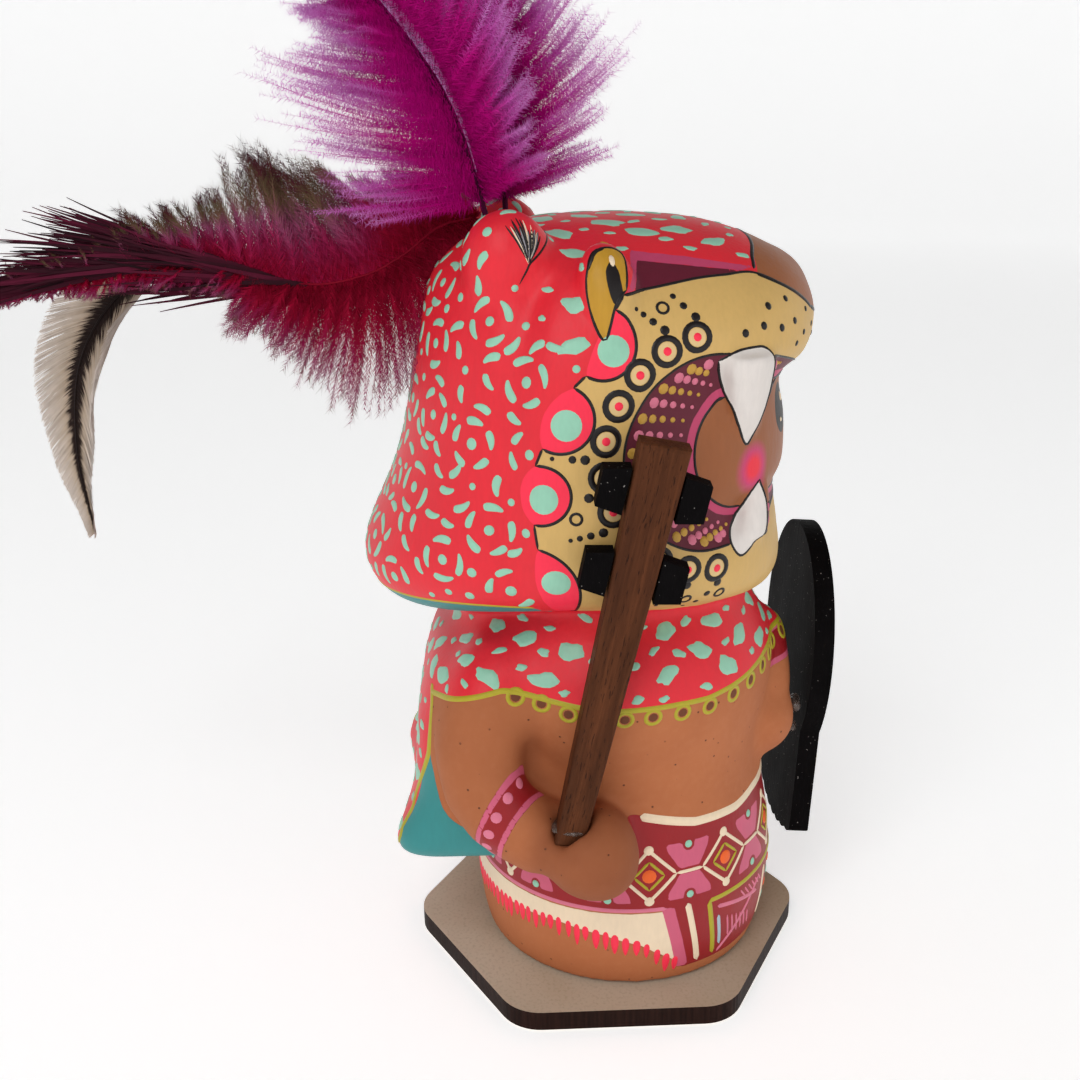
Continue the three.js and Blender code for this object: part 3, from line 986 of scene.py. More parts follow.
@dataclass
class PaintAreas:
    """Works out, for each point of the clay, how far it lies inside each painted area."""

    form: ClayForm
    band_centre: Vector = field(default_factory=lambda: Vector((-23.6, 15.3, 33.4)))
    band_way: Vector = field(default_factory=lambda: Vector((-0.501, -0.782, -0.371)))
    band_half: float = 2.0
    band_border: float = 0.72
    cuff_height: float = 49.5
    cuff_half: float = 2.6
    cuff_border: float = 0.8
    cape_low: float = 22.6
    cape_depth: float = 26.2
    belt_low: float = 17.0
    apron_per_degree: float = 0.41
    rim_height: float = 64.0

    def apron_edge(self, height: Array | float) -> Array | float:
        """Returns the turn of the apron's slanting side edge at a height."""
        return 62.7 + (height - 5.8) * 0.62

    @staticmethod
    def belt_top(turn: Array | float) -> Array:
        """Returns the height of the belt's upper edge."""
        return np.interp(turn, *zip(*BELT_TOP))

    @staticmethod
    def skirt_low(turn: Array | float) -> Array:
        """Returns the height of the skirt's lower edge."""
        return np.interp(turn, *zip(*SKIRT_LOW))

    @staticmethod
    def cape_edge(points: Array) -> Array:
        """Finds where the cape's side face turns into its outer face.

        Args:
            points: in millimetres.

        Returns:
            How far back it turns beside each point.
        """
        inner = PaintAreas.cape_depth
        flared = np.interp(points[:, 2], *zip(*CAPE_EDGE)) - inner
        return inner + flared * smooth_step(np.abs(points[:, 0]), 13.0, 18.0)

    @staticmethod
    def rim(turn: Array | float) -> Array:
        """Returns the height of the helmet's lower rim."""
        return PaintAreas.rim_height - 2.2 * smooth_step(turn, 120.0, 180.0)

    def muzzle(self) -> Array:
        """Returns the outline of the tan muzzle on the unrolled head."""
        top = unrolled(through(TAN_TOP, 26))
        lobes = [arc_through(*(on_arc(*place) for place in lobe)) for lobe in LOBES]
        low = unrolled([(104.5, 61.6), (60, 60.4), (0, 59.0), (-8, 59.0), (-8, 97.5), (8, 98.4)])
        return np.vstack([top, *lobes, low])

    def lobe(self, index: int) -> Array:
        """Draws one round scallop, which runs back over the hood.

        Args:
            index: its number from the top.

        Returns:
            Its outline on the unrolled head.
        """
        start, far, end = (on_arc(*place) for place in LOBES[index])
        front = arc_through(start, far, end)
        centre = np.array(on_arc(*DISCS[index][:2]))
        back = centre + (centre - np.array(far)) * 0.92
        return np.vstack([front, arc_through(end, tuple(back), start)])

    def areas(self, points: Array) -> dict[Region, Array]:
        """Measures every point against every painted area.

        Args:
            points: in millimetres.

        Returns:
            The depth inside each area, negative outside.
        """
        turn, height = turn_of(points), points[:, 2]
        flat = np.column_stack([np.radians(turn) * ARC, height])
        helmet = self.form.above_crease(points)
        off_torso = self.form.off_torso(points)
        off_right = self.form.off_limb(points, self.form.right_arm)
        off_left = self.form.off_limb(points, self.form.left_arm)
        on_torso = 0.9 - off_torso
        apart = least(off_right, off_left) - 0.2
        clear = apart - 1.5
        result = {}

        hem = height - np.interp(turn, *zip(*HEM))
        behind = points[:, 1] - self.cape_edge(points)
        cape_back = least(behind, off_torso - 0.5, height - self.cape_low)
        result[Region.RED] = greatest(hem, cape_back, helmet)
        under = least(self.rim(turn) - height, helmet + 0.6, (turn - 112.0) * PER_DEGREE)
        cape_side = least(-behind, off_torso - 0.5, clear, -hem, height - self.cape_low,
                          (turn - 128.0) * PER_DEGREE)
        result[Region.TEAL] = np.maximum(under, cape_side)

        edge_in = (self.apron_edge(height) - turn) * self.apron_per_degree
        belt = least(self.belt_top(turn) - height, height - self.belt_low, on_torso, apart + 0.6)
        apron = least(edge_in, height - 5.6, 17.6 - height, on_torso)
        along_band = (points - np.array(self.band_centre)) @ np.array(self.band_way)
        near_arm = least(1.2 - off_right, 41.3 - height, off_torso - 0.4, -22.7 - points[:, 0])
        band = np.minimum(self.band_half - np.abs(along_band), near_arm)
        off_cuff = self.form.off_limb(points, self.form.left_arm[3:])
        off_middle = np.abs(height - self.cuff_height)
        cuff = least(self.cuff_half - off_middle, 1.0 - off_cuff, -17.0 - points[:, 1])
        result[Region.CRIMSON] = greatest(belt, apron, band, cuff)
        skirt = height - self.skirt_low(turn)
        result[Region.CREAM] = least(skirt, 16.5 - height, on_torso, -edge_in, apart + 0.6)
        band_edge = np.minimum(band, np.abs(along_band) - (self.band_half - self.band_border))
        cuff_edge = np.minimum(cuff, off_middle - (self.cuff_half - self.cuff_border))
        border = least(edge_in + 0.9, 0.9 - edge_in, self.belt_low - height, height - 5.8, on_torso)
        wedges = self._wedges(flat, on_torso, apart)
        result[Region.PINK] = greatest(band_edge, cuff_edge, border, wedges)

        muzzle = np.minimum(inside(flat, self.muzzle()), helmet + 0.4)
        result[Region.TAN] = muzzle
        lobes = greatest(*(inside(flat, self.lobe(k)) for k in range(len(LOBES))))
        result[Region.SCALLOP] = np.minimum(lobes, -muzzle)
        gum = (1 - GUM.value(flat[:, 0], height)) * 11.0
        face = (1 - FACE.value(flat[:, 0], height)) * 8.0
        brow = inside(flat, unrolled(BROW))
        inner = inside(flat, unrolled(BROW_INSIDE))
        on_brow = height > 99
        result[Region.MAROON] = np.where(on_brow, inner, gum)
        result[Region.RING] = np.where(on_brow, np.minimum(brow, -inner), np.minimum(face + 1.15, gum))
        result[Region.BROWN] = np.maximum(face, self._nose(flat))
        cheek = np.hypot(flat[:, 0] - on_arc(47.2, 0)[0], (height - 81.3))
        result[Region.HALO] = np.minimum(3.0 - cheek, face)
        result[Region.BLUSH] = np.minimum(1.7 - cheek, face)
        result[Region.OCHRE] = inside(flat, unrolled(closed(EYE, 60)))
        pupil = inside(flat, unrolled(closed(PUPIL, 40)))
        result[Region.BLACK] = np.maximum(self._gaze(flat, face), pupil)
        result[Region.IVORY] = np.maximum(inside(flat, unrolled(closed(UPPER_FANG, 36))),
                                          inside(flat, unrolled(closed(LOWER_FANG, 30))))
        return result

    def shade_and_glue_stain(self, points: Array) -> Array:
        """Darkens the right arm with painted shade, most on the hand, where a glue stain is painted as well.

        Args:
            points: in millimetres.

        Returns:
            How much each point is darkened, from 0 to 1.
        """
        hand = 1 - smooth_step(lengths(points - np.array((-28.5, 4.5, 30.5))), 7.0, 10.5)
        arm = 1 - smooth_step(self.form.off_limb(points, self.form.right_arm), 0.4, 2.2)
        return arm * (0.35 + 0.65 * hand)

    @staticmethod
    def _wedges(flat: Array, on_torso: Array, apart: Array) -> Array:
        """Draws the pink wedges of the belt, between its diamonds.

        Args:
            flat: points on the unrolled figure.
            on_torso: how far they lie in the torso's skin.
            apart: how far they keep off the arms.

        Returns:
            The depth inside a wedge.
        """
        scale = math.radians(1) * ARC
        shape = ((-8.2, 1.7), (8.2, 1.7), (7.6, 0.5), (3.6, -2.2), (-3.6, -2.2), (-7.6, 0.5))
        best = np.full(len(flat), -FAR)
        for centre in Belt.WEDGES:
            for way, height in ((1, 25.2), (-1, 19.9)):
                corners = np.array([((centre + u) * scale, height + way * v) for u, v in shape])
                above = (flat[:, 1] - height - way * 1.3) * 2.3
                notch = np.hypot(flat[:, 0] / scale - centre, above) * 0.42 - 0.95
                best = np.maximum(best, np.minimum(inside(flat, corners), notch))
        return least(best, on_torso, apart + 0.4)

    @staticmethod
    def _nose(flat: Array) -> Array:
        """Draws the brown nose pad over the front of the brow.

        Args:
            flat: points on the unrolled head.

        Returns:
            The depth inside it.
        """
        outline = ((37.5, 105.2), (27.9, 102.5), (18.8, 99.8), (8, 98.6), (-8, 98.6), (-8, 109.4),
                   (8, 109.2), (20, 108.4), (31, 107.2))
        return inside(flat, unrolled(outline))

    @staticmethod
    def _gaze(flat: Array, face: Array) -> Array:
        """Draws the painted eyes of the face in the mouth.

        Args:
            flat: points on the unrolled head.
            face: the depth inside the face.

        Returns:
            The depth inside an eye.
        """
        arc = flat[:, 0] - on_arc(24.0, 0)[0]
        value = np.hypot(arc / 3.9, (flat[:, 1] - 87.0) / 3.3)
        return np.minimum((1 - value) * 3.4, face)


@dataclass
class ClayFigure:
    """The modelled clay: helmet, torso, arms and cape in one skin."""

    voxel: float = 0.585
    soft: int = 34
    melted: int = 160
    whole: int = 5
    finish: ClayFinish = field(default_factory=ClayFinish)
    form: ClayForm = field(default_factory=ClayForm)

    def build(self) -> Object:
        """Makes the clay piece from a copy of its solid and stores its painted areas.

        Returns:
            The piece.
        """
        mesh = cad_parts["clay_figure"].data.copy()
        mesh.materials.clear()
        bm = bmesh.new()
        bm.from_mesh(mesh)
        bmesh.ops.remove_doubles(bm, verts=bm.verts[:], dist=0.01 * MM)
        bm.to_mesh(mesh)
        bm.free()
        obj = new_object("painted_clay_figure", mesh)
        voxel_skin(obj, self.voxel)
        settled(obj)
        self._soften(obj)
        mesh = obj.data
        shade_smooth(mesh)
        areas = PaintAreas(self.form)
        points = vertices_of(mesh)
        for region, depth in areas.areas(points).items():
            write_field(mesh, region.value[0], np.clip(depth, -5, 5))
        write_field(mesh, "shade_and_glue_stain", areas.shade_and_glue_stain(points))
        mesh.materials.clear()
        mesh.materials.append(self.finish.material())
        attach(obj, "painted_clay", "clay_figure")
        return obj

    def _soften(self, obj: Object) -> None:
        """Smooths the facets away, less on small crisp forms and most below the hood's back.

        Args:
            obj: the clay piece.
        """
        points = vertices_of(obj.data)
        smoothing(obj, self.soft, 1 - self._crisp(points))
        back = smooth_step(points[:, 1], 2.0, 7.0) * smooth_step(points[:, 2], 43, 47)
        smoothing(obj, self.melted, back * (1 - smooth_step(points[:, 2], 57.5, 60.5)))
        smoothing(obj, self.whole)
        settled(obj)
        self._groove(obj.data)
        self._flatten_hand(obj.data)

    @staticmethod
    def _groove(mesh: Mesh) -> None:
        """Presses the soft upright hollow between the hood and the cheek.

        Args:
            mesh: the clay's mesh.
        """
        points = vertices_of(mesh)
        normals = vertices_of(mesh, normals=True)
        height = points[:, 2]
        middle = 115.5 + 2.5 * np.sin((height - 64) / 12)
        hollow = np.exp(-(((turn_of(points) - middle) / 5.5) ** 2))
        within = smooth_step(height, 63.5, 72) * (1 - smooth_step(height, 103.5, 107.5))
        write_vertices(mesh, points - normals * (1.1 * hollow * within)[:, None])

    @staticmethod
    def _flatten_hand(mesh: Mesh) -> None:
        """Presses the underside and the front of the hand that holds the club a little flat.

        Args:
            mesh: the clay's mesh.
        """
        points = vertices_of(mesh)
        hand = np.array((-27.0, 3.6, 28.4))
        near = 1 - smooth_step(lengths(points - hand), 8.0, 10.5)
        points[:, 2] += np.maximum(0.0, hand[2] - points[:, 2]) * 0.24 * near
        points[:, 1] += np.maximum(0.0, hand[1] - points[:, 1]) * 0.18 * near
        write_vertices(mesh, points)

    @staticmethod
    def _crisp(points: Array) -> Array:
        """Chooses the small forms that stay crisp.

        Args:
            points: in millimetres.

        Returns:
            How much each keeps its shape: 1 on fangs, eyes and the flat foot.
        """
        half = folded(points)
        spots = (((20.3, -15.4, 90.0), 7.0), ((18.2, -17.2, 76.0), 5.0), ((21.4, 2.4, 104.2), 6.0))
        keep = np.zeros(len(points))
        for centre, radius in spots:
            far = lengths(half - np.array(centre))
            keep = np.maximum(keep, 1 - smooth_step(far, radius * 0.8, radius * 1.3))
        return np.maximum(keep, (points[:, 2] < 3.8) * 1.0)


class Belt:
    """Sizes of the patterned belt: turns about the body in degrees, and heights."""

    TURNS = (18.0, 47.0, 76.0, 105.0, 134.0, 163.0)
    WEDGES = (0.0, 32.5, 61.6, 90.5, 119.5, 148.5, 177.0)
    MIDDLE = 22.4
    HALF_TURN = 9.6
    HALF_HEIGHT = 4.0
    INNER = 0.56


class PaintedPatterns:
    """Every raised line, dot and ring on the clay."""

    def __init__(self, clay: Object, form: ClayForm) -> None:
        """Reads the clay and prepares one brush for each paint.

        Args:
            clay: the finished clay piece.
            form: the sizes that its areas are set out from.
        """
        self.skin = Surface(clay)
        self.areas = PaintAreas(form)
        self.form = form
        self.random = np.random.default_rng(11)
        self.points = vertices_of(clay.data)
        self.normals = vertices_of(clay.data, normals=True)
        self.free, self.behind = self._zone(clay.data)
        self.tree = KDTree(len(self.points))
        for index, point in enumerate(self.points):
            self.tree.insert(point, index)
        self.tree.balance()
        self.brushes: list[Brush] = []
        self.side = SIDES[0]
        self.black = self._brush("paint_black", BLACK, 0.35)
        self.mint = self._brush("paint_mint", MINT)
        self.pink = self._brush("paint_pink", rgb(216, 116, 140))
        self.ochre = self._brush("paint_ochre", rgb(196, 150, 62))
        self.cream = self._brush("paint_cream", CREAM)
        self.olive = self._brush("paint_olive", OLIVE)
        self.red = self._brush("paint_red", HOT_RED)
        self.orange = self._brush("paint_orange", rgb(236, 98, 30))
        self.blue = self._brush("paint_pale_blue", rgb(168, 190, 200))
        self.tan = self._brush("paint_tan", rgb(222, 190, 134))
        self.grey = self._brush("paint_grey", rgb(150, 146, 152))
        self.clay_brown = self._brush("paint_clay_brown", rgb(110, 60, 36), 0.7)

    def _brush(self, name: str, colour: Colour, roughness: float = 0.42) -> Brush:
        """Dips a new brush.

        Args:
            name: the piece's name.
            colour: its paint.
            roughness: how matt the paint dries.

        Returns:
            The brush.
        """
        brush = Brush(name, PaintFinish(name, colour, roughness), self.skin)
        self.brushes.append(brush)
        return brush

    def build(self) -> None:
        """Lays all the patterns and makes one piece for each paint."""
        for self.side in SIDES:
            for lay in (self._outlines, self._muzzle, self._gums, self._discs, self._helmet_eye, self._ear,
                        self._face, self._belt, self._skirt, self._apron):
                lay()
        self._hem()
        self._cape_lines()
        self._armband()
        self._hood()
        self._pebbles()
        for brush in self.brushes:
            brush.finish_piece()

    def _at(self, turn: float, height: float, outward: bool = False) -> Vector:
        """Returns a place on the half that is being painted."""
        return self.skin.at(turn, height, self.side, outward)

    def _along(self, places: Sequence[Sequence[float]], outward: bool = False) -> list[Vector]:
        """Returns a line on the half that is being painted."""
        return self.skin.line(places, self.side, outward)

    def _outlines(self) -> None:
        """Draws the black lines round the muzzle, gums, face and fangs."""
        self._line(through(TAN_TOP[1:], 60), 0.5)
        self._line(through(TAN_TOP[:3], 20), 0.8)
        ends = [(87.6, 104.0), (89.0, 103.1)]
        for lobe in LOBES:
            arc = arc_through(*(on_arc(*place) for place in lobe), 26)
            places = [(math.degrees(x / ARC), z) for x, z in arc]
            self._line(np.array([*ends, places[0]]), 0.45)
            self._line(np.array(places), 0.5)
            ends = [places[-1]]
        self._line(np.array([GUM.place(t) for t in np.linspace(0, 1, 110)]), 0.42)
        self._line(np.array([FACE.place(t) for t in np.linspace(0, 1, 90)]), 0.42)
        for outline in (*FANGS, EYE):
            self.black.stroke(self._along(closed(outline, 70)), 0.42, 0.1, 0.1)
        nose = through(((37.5, 105.7), (31, 107.2), (20, 108.4), (8, 109.2), (0, 109.4)), 30)
        self.black.stroke(self._along(nose), 0.7, 0.1)
        low = through(((18.8, 100.1), (8, 98.9), (0, 98.6)), 16)
        self.black.stroke(self._along(low), 0.8, 0.1)

    def _line(self, places: Array, width: float) -> None:
        """Draws a black line, broken off where a fang covers it.

        Args:
            places: turn and height along it.
            width: its full width.
        """
        run: list[Vector] = []
        for place in spread(places, max(8, int(len(places) * 1.5))):
            if self._on_fang(place, 0.0):
                self._draw(run, width)
                run = []
            else:
                run.append(self._at(*place))
        self._draw(run, width)

    def _draw(self, run: list[Vector], width: float) -> None:
        """Draws a black stroke if it has a length.

        Args:
            run: its points.
            width: its full width.
        """
        if len(run) > 3:
            self.black.stroke(run, width, 0.1, 0.3)

    def _muzzle(self) -> None:
        """Dots the muzzle and rings the gums."""
        spots = ((41.4, 101.5, 0.6), (33.1, 102, 0.5), (31.9, 99.2, 0.52), (38.4, 98.7, 0.58),
                 (45.2, 99.3, 0.6), (51.9, 98.7, 0.6), (26.5, 97.4, 0.45), (24, 100.2, 0.42),
                 (19.4, 98, 0.42), (15, 96.4, 0.4), (30.5, 96.2, 0.45))
        for turn, height, radius in spots:
            self.black.dab(self._at(turn, height), radius, sides=9)
        spacing = 4.5
        total = 2 * GUM.corner + math.pi / 2 * (GUM.reach + GUM.side + 5)
        shares = np.arange(0.3, 0.79, spacing / total)
        for index, share in enumerate(shares):
            dot = GUM.place(float(share), 2.5)
            if self._room(dot, 1.5) and not self._on_fang(dot, 2.2):
                self._ringed_dot(dot)
            ring = GUM.place(float(share), 6.6 if index % 2 else 6.9)
            if self._room(ring, 1.2) and not self._on_fang(ring, 1.5):
                self.black.dab(self._at(*ring), 0.95, Dab.RING, sides=14)
            between = float(share) - 0.5 * spacing / total
            for radius, off in ((0.68, 4.7), (0.55, 6.2), (0.44, 7.5), (0.32, 8.6)):
                place = GUM.place(between, off)
                if self._room(place, radius + 0.2):
                    self.black.dab(self._at(*place), radius, sides=9)

    def _ringed_dot(self, place: Place) -> None:
        """Lays a black ring with a pale middle and a red dot.

        Args:
            place: its turn and height.
        """
        centre = self._at(*place)
        self.black.dab(centre, 2.15, Dab.RING, sides=20)
        self.tan.dab(centre, 1.26, sides=14, lift=0.5)
        self.red.dab(centre, 0.62, sides=10, lift=1.6)

    def _room(self, place: Place, margin: float) -> bool:
        """Tells whether a place on the muzzle keeps a margin to its outline."""
        return bool(inside(unrolled([place]), self.areas.muzzle())[0] > margin)

    def _gums(self) -> None:
        """Lays the radial rows of dots on the gums."""
        rows = 26
        for row in range(rows):
            share = 0.2 + 0.6 * row / (rows - 1)
            start, end = np.array(GUM.place(share, -1.1)), np.array(FACE.place(share, 2.2))
            brush = self.pink if row % 2 else self.ochre
            shift = 0.06 * (row % 2)
            for step, radius in enumerate((0.78, 0.62, 0.5, 0.38, 0.28)):
                place = start + (end - start) * min(1.0, step * 0.235 + shift)
                if self._on_fang(place):
                    continue
                brush.dab(self._at(*place), radius, sides=9, lift=1.3)

    @staticmethod
    def _on_fang(place: Sequence[float], margin: float = 0.9) -> bool:
        """Tells whether a place lies on a fang or closer to one than a margin."""
        return any(inside(unrolled([place]), unrolled(fang))[0] > -margin for fang in FANGS)

    def _discs(self) -> None:
        """Lays the mint discs in the scallops."""
        for turn, height, radius in DISCS:
            self.mint.dab(self._at(turn, height), radius, sides=22)

    def _helmet_eye(self) -> None:
        """Lays the glint and the dark upper lid of a helmet eye."""
        up = Vector((0, 0, 1))
        self.cream.dab(self._at(90.6, 107.9), 0.5, along=up,
                       warp=lambda s: np.column_stack([s[:, 0] * 1.7, s[:, 1] * 0.75]), sides=10, lift=2.0)
        lid = through(((97.9, 106.6), (96.2, 108.7), (92.6, 109.3)), 14)
        self.black.stroke(self._along(lid), 0.9, 0.12, 1.6)

    def _ear(self) -> None:
        """Paints a fan of hair strokes in an ear, and a dark line of painted shade along the crease in front
        of it.
        """
        root = Vector((self.side * 20.0, 12.0, 107.4))
        for index in range(26):
            angle = math.radians(58 + (index * 7) % 26 * 2.7 + self.random.uniform(-2, 2))
            length = self.random.uniform(3.8, 6.2)
            start = self.random.uniform(0.0, 0.25)
            way = Vector((self.side * -0.3, math.cos(angle), math.sin(angle)))
            line = [self.skin.nearest(root + way * (length * t))[0] for t in np.linspace(start, 1, 8)]
            brush = (self.black, self.grey, self.black, self.cream, self.black, self.black)[index % 6]
            brush.stroke(line, 0.34, 0.08 + 0.02 * (index % 3), 1.8)
        # painted shade: a dark line along the crease where the ear meets the crown
        crease = [self.skin.nearest(Vector((self.side * -x, y, z)))[0]
                  for x, y, z in ((-9.6, 9.6, 110.4), (-15, 10.4, 109.6), (-20, 11.8, 107.4),
                                  (-21.4, 12.6, 104.6))]
        self.black.stroke(crease, 0.4, 0.06, 2.5)

    def _face(self) -> None:
        """Paints glint, brow and half of the lips of the face in the mouth."""
        self.cream.dab(self._at(22.0, 88.3), 0.7, sides=10, lift=1.6)
        self.cream.dab(self._at(26.5, 85.6), 0.35, sides=8, lift=1.6)
        brow = through(((11, 90.6), (19, 91.6), (28, 91.4), (36, 89.6)), 16)
        self.black.stroke(self._along(brow), 0.6, 0.1, 2.0)
        lip = through(((-1, 79.0), (5, 79.1), (11, 79.9)), 10)
        self.red.stroke(self._along(lip), 1.5, 0.14, 2.2)
        nostril = through(((3.5, 83.2), (5.5, 82.7), (6.5, 83.6)), 6)
        self.clay_brown.stroke(self._along(nostril), 0.4, 0.08)

    def _belt(self) -> None:
        """Lays the diamonds, lines and dots of the belt."""
        for index, turn in enumerate(Belt.TURNS):
            if self.side < 0 and 84 < turn < 112:
                continue
            for share, brush, width in ((1.0, self.cream, 0.62), (Belt.INNER, self.olive, 0.5)):
                corners = [(turn + share * Belt.HALF_TURN * math.cos(a),
                            Belt.MIDDLE + share * Belt.HALF_HEIGHT * math.sin(a))
                           for a in np.radians((0, 90, 180, 270, 360))]
                for a, b in zip(corners, corners[1:]):
                    self._band_line(brush, (a, b), width)
            self._band_dot(self.orange, turn, Belt.MIDDLE, 1.15)
            for height in (Belt.MIDDLE + Belt.HALF_HEIGHT, Belt.MIDDLE - Belt.HALF_HEIGHT):
                self._band_dot(self.cream, turn, height, 0.8)
            if index + 1 < len(Belt.TURNS):
                link = ((turn + Belt.HALF_TURN, Belt.MIDDLE),
                        (Belt.TURNS[index + 1] - Belt.HALF_TURN, Belt.MIDDLE))
                self._band_line(self.cream, link, 0.62)
        for turn in Belt.WEDGES:
            for height in (26.5, 18.6):
                self._band_dot(self.mint, turn, height, 0.62)
        turns = np.linspace(0, 79 if self.side < 0 else 118, 60)
        top = [(turn, float(PaintAreas.belt_top(turn)) - 0.2) for turn in turns]
        self.cream.stroke(self._along(top, outward=True), 1.5, 0.2, 0.8)

    def _visible(self, point: Vector) -> bool:
        """Tells whether a point from inside lies on the torso and not on an arm or the cape."""
        spot = np.array([tuple(point)])
        return bool(self.form.off_torso(spot)[0] < 1.3)

    def _band_line(self, brush: Brush, ends: Sequence[Place], width: float) -> None:
        """Draws a straight line of the belt where the torso shows.

        Args:
            brush: its paint.
            ends: turn and height of its two ends.
            width: its full width.
        """
        line = [tuple(p) for p in spread(np.array(ends, dtype=float), 14)]
        points = [p for p in self._along(line, outward=True) if self._visible(p)]
        if len(points) > 5:
            brush.stroke(points, width, 0.12, 0.3)

    def _band_dot(self, brush: Brush, turn: float, height: float, radius: float) -> None:
        """Lays a dot of the belt where the torso shows.

        Args:
            brush: its paint.
            turn: degrees from the front.
            height: above the underside of the base.
            radius: its radius.
        """
        point = self._at(turn, height, outward=True)
        if self._visible(point):
            brush.dab(point, radius, sides=12, lift=1.4)

    def _skirt(self) -> None:
        """Lays the skirt's pink line and its hot-red drops."""
        line = [(turn, 17.0) for turn in np.linspace(70, 180, 80)]
        self.pink.stroke(self._along(line, outward=True), 0.8, 0.08)
        turn = 65.6
        while turn < 180:
            low = float(PaintAreas.skirt_low(turn))
            length = self.random.uniform(1.4, 2.1)
            centre = self._at(turn, low + 0.9 - length, outward=True)
            wide = self.random.uniform(0.6, 0.8)
            warp = self._drop(length, wide)
            self.red.dab(centre, 1.0, along=Vector((0, 0, 1)), warp=warp, sides=14)
            turn += self.random.uniform(3.1, 4.2)

    @staticmethod
    def _drop(length: float, wide: float) -> Warp:
        """Returns a warp to an upright drop, fuller at its top."""
        return lambda s: np.column_stack([s[:, 0] * length, s[:, 1] * wide * (0.75 + 0.35 * s[:, 0])])

    def _apron(self) -> None:
        """Lays the stripes, frame and crossed lines of the apron."""
        lines = [
            (self.cream, 1.15, (62.6, 17.2), (56.8, 6.2)),
            (self.olive, 1.0, (54.3, 16.4), (50.4, 6.4)),
            (self.olive, 0.9, (54.3, 16.4), (30.4, 16.6), (0, 16.4)),
            (self.blue, 0.75, (50.0, 13.3), (47.9, 7.6)),
        ]
        for k in range(6):
            turn = 45.8 - 2.3 * k
            lines.append((self.pink, 0.4, (turn, 12.4 - 0.35 * k), (turn - 1.6, 8.4 - 0.1 * k)))
            lines.append((self.pink, 0.36, (turn - 6, 15.4), (turn - 9, 13.7)))
        lines += [
            (self.pink, 0.85, (50.8, 14.9), (28.4, 12.6)),
            (self.pink, 0.7, (48.2, 6.2), (27.6, 15.0)),
            (self.cream, 0.9, (22.0, 15.2), (22.0, 6.4)),
            (self.olive, 0.7, (7.0, 15.2), (7.0, 6.4)),
        ]
        for middle in (8.0, 10.8, 13.6):
            lines.append((self.cream, 0.5, (0.0, middle + 1.2), (4.6, middle)))
            lines.append((self.cream, 0.5, (4.6, middle), (0.0, middle - 1.2)))
        for brush, width, *ends in lines:
            line = spread(np.array(ends, dtype=float), 20)
            brush.stroke(self._along(line, outward=True), width, 0.13, 0.4)
        for k in range(4):
            self._band_dot(self.orange if k % 2 else self.mint, 14.5, 7.6 + 2.3 * k, 0.75)

    def _hem(self) -> None:
        """Lays the cowl's olive edge with its hanging loops."""
        for side in SIDES:
            line = [(turn, float(np.interp(turn, *zip(*HEM)))) for turn in np.linspace(0, 148, 150)]
            self.olive.stroke(self.skin.line(line, side), 0.9, 0.14)
            for turn in LOOPS:
                hang = 1.35 - 0.8 * float(smooth_step(turn, 103.0, 114.0))
                height = float(np.interp(turn, *zip(*HEM))) - hang
                centre = self.skin.at(turn, height, side)
                self.olive.dab(centre, 1.4, Dab.RING, sides=16, lift=1.2)
                self.clay_brown.dab(centre, 0.72, sides=10, lift=0.35)

    def _cape_lines(self) -> None:
        """Lays the olive line where the cape turns from its side to its back, and the helmet's rim."""
        for side in SIDES:
            line = []
            for height in np.linspace(49.4, 25.6, 42):
                back = float(PaintAreas.cape_edge(np.array([[21.5, 26.0, height]]))[0])
                hit = self.skin.tree.ray_cast(Vector((side * 40, back, height)), Vector((-side, 0, 0)))[0]
                seen = hit is not None and abs(hit.x) > 14
                line.append(hit if seen else self.skin.nearest(Vector((side * 19, back, height)))[0])
            self.olive.stroke(line, 1.1, 0.14)
            rim = [(turn, float(PaintAreas.rim(turn)) + 0.2) for turn in np.linspace(113, 180, 70)]
            self.olive.stroke(self.skin.line(rim, side), 0.55, 0.08)

    def _armband(self) -> None:
        """Dots the band on the right arm."""
        way = self.areas.band_way
        centre = self.areas.band_centre
        first = way.cross(Vector((0, 0, 1))).normalized()
        second = way.cross(first).normalized()
        for angle in np.linspace(0, math.tau, 13, endpoint=False):
            guess = centre + (first * math.cos(angle) + second * math.sin(angle)) * 7
            place, _ = self.skin.nearest(guess)
            if abs((place - centre).dot(way)) < 0.8 and not self._visible(place) and place.x < -23.2:
                self.pink.dab(place, 0.86, sides=12)

    def _masked(self, mask: Array, spacing: float, limit: int) -> list[int]:
        """Chooses well spread points of the clay.

        Args:
            mask: which points may be chosen.
            spacing: least distance between two of them.
            limit: how many candidates are tried.

        Returns:
            The numbers of the chosen points.
        """
        candidates = np.flatnonzero(mask)
        tried = self.random.permutation(candidates)[:limit]
        chosen: list[int] = []
        kept = np.empty((0, 3))
        for index in tried:
            point = self.points[index]
            if len(kept) and np.min(lengths(kept - point)) < spacing:
                continue
            chosen.append(int(index))
            kept = np.vstack([kept, point])
        return chosen

    def _zone(self, mesh: Mesh) -> tuple[Array, Array]:
        """Finds where the red shows, and which of it is the hood behind the jaws.

        Args:
            mesh: the clay's mesh, which holds the painted areas.

        Returns:
            The depth inside the bare red, off the ears, and the depth inside the hood.
        """
        ear, ear_radius = np.array((20.0, 12.0, 109.0)), 3.4
        free = np.full(len(self.points), FAR)
        for region in Region:
            depth = np.empty(len(self.points), dtype=np.float32)
            mesh.attributes[region.value[0]].data.foreach_get("value", depth)
            free = np.minimum(free, depth if region is Region.RED else -depth)
        free = np.minimum(free, lengths(folded(self.points) - ear) - ear_radius)
        _, back, height = self.points.T
        behind = least(self.form.above_crease(self.points) - 1.5,
                       back - 4.0 - 8.5 * smooth_step(height, 95, 101),
                       (turn_of(self.points) - 97.0) * PER_DEGREE, height - self.areas.rim_height)
        return free, behind

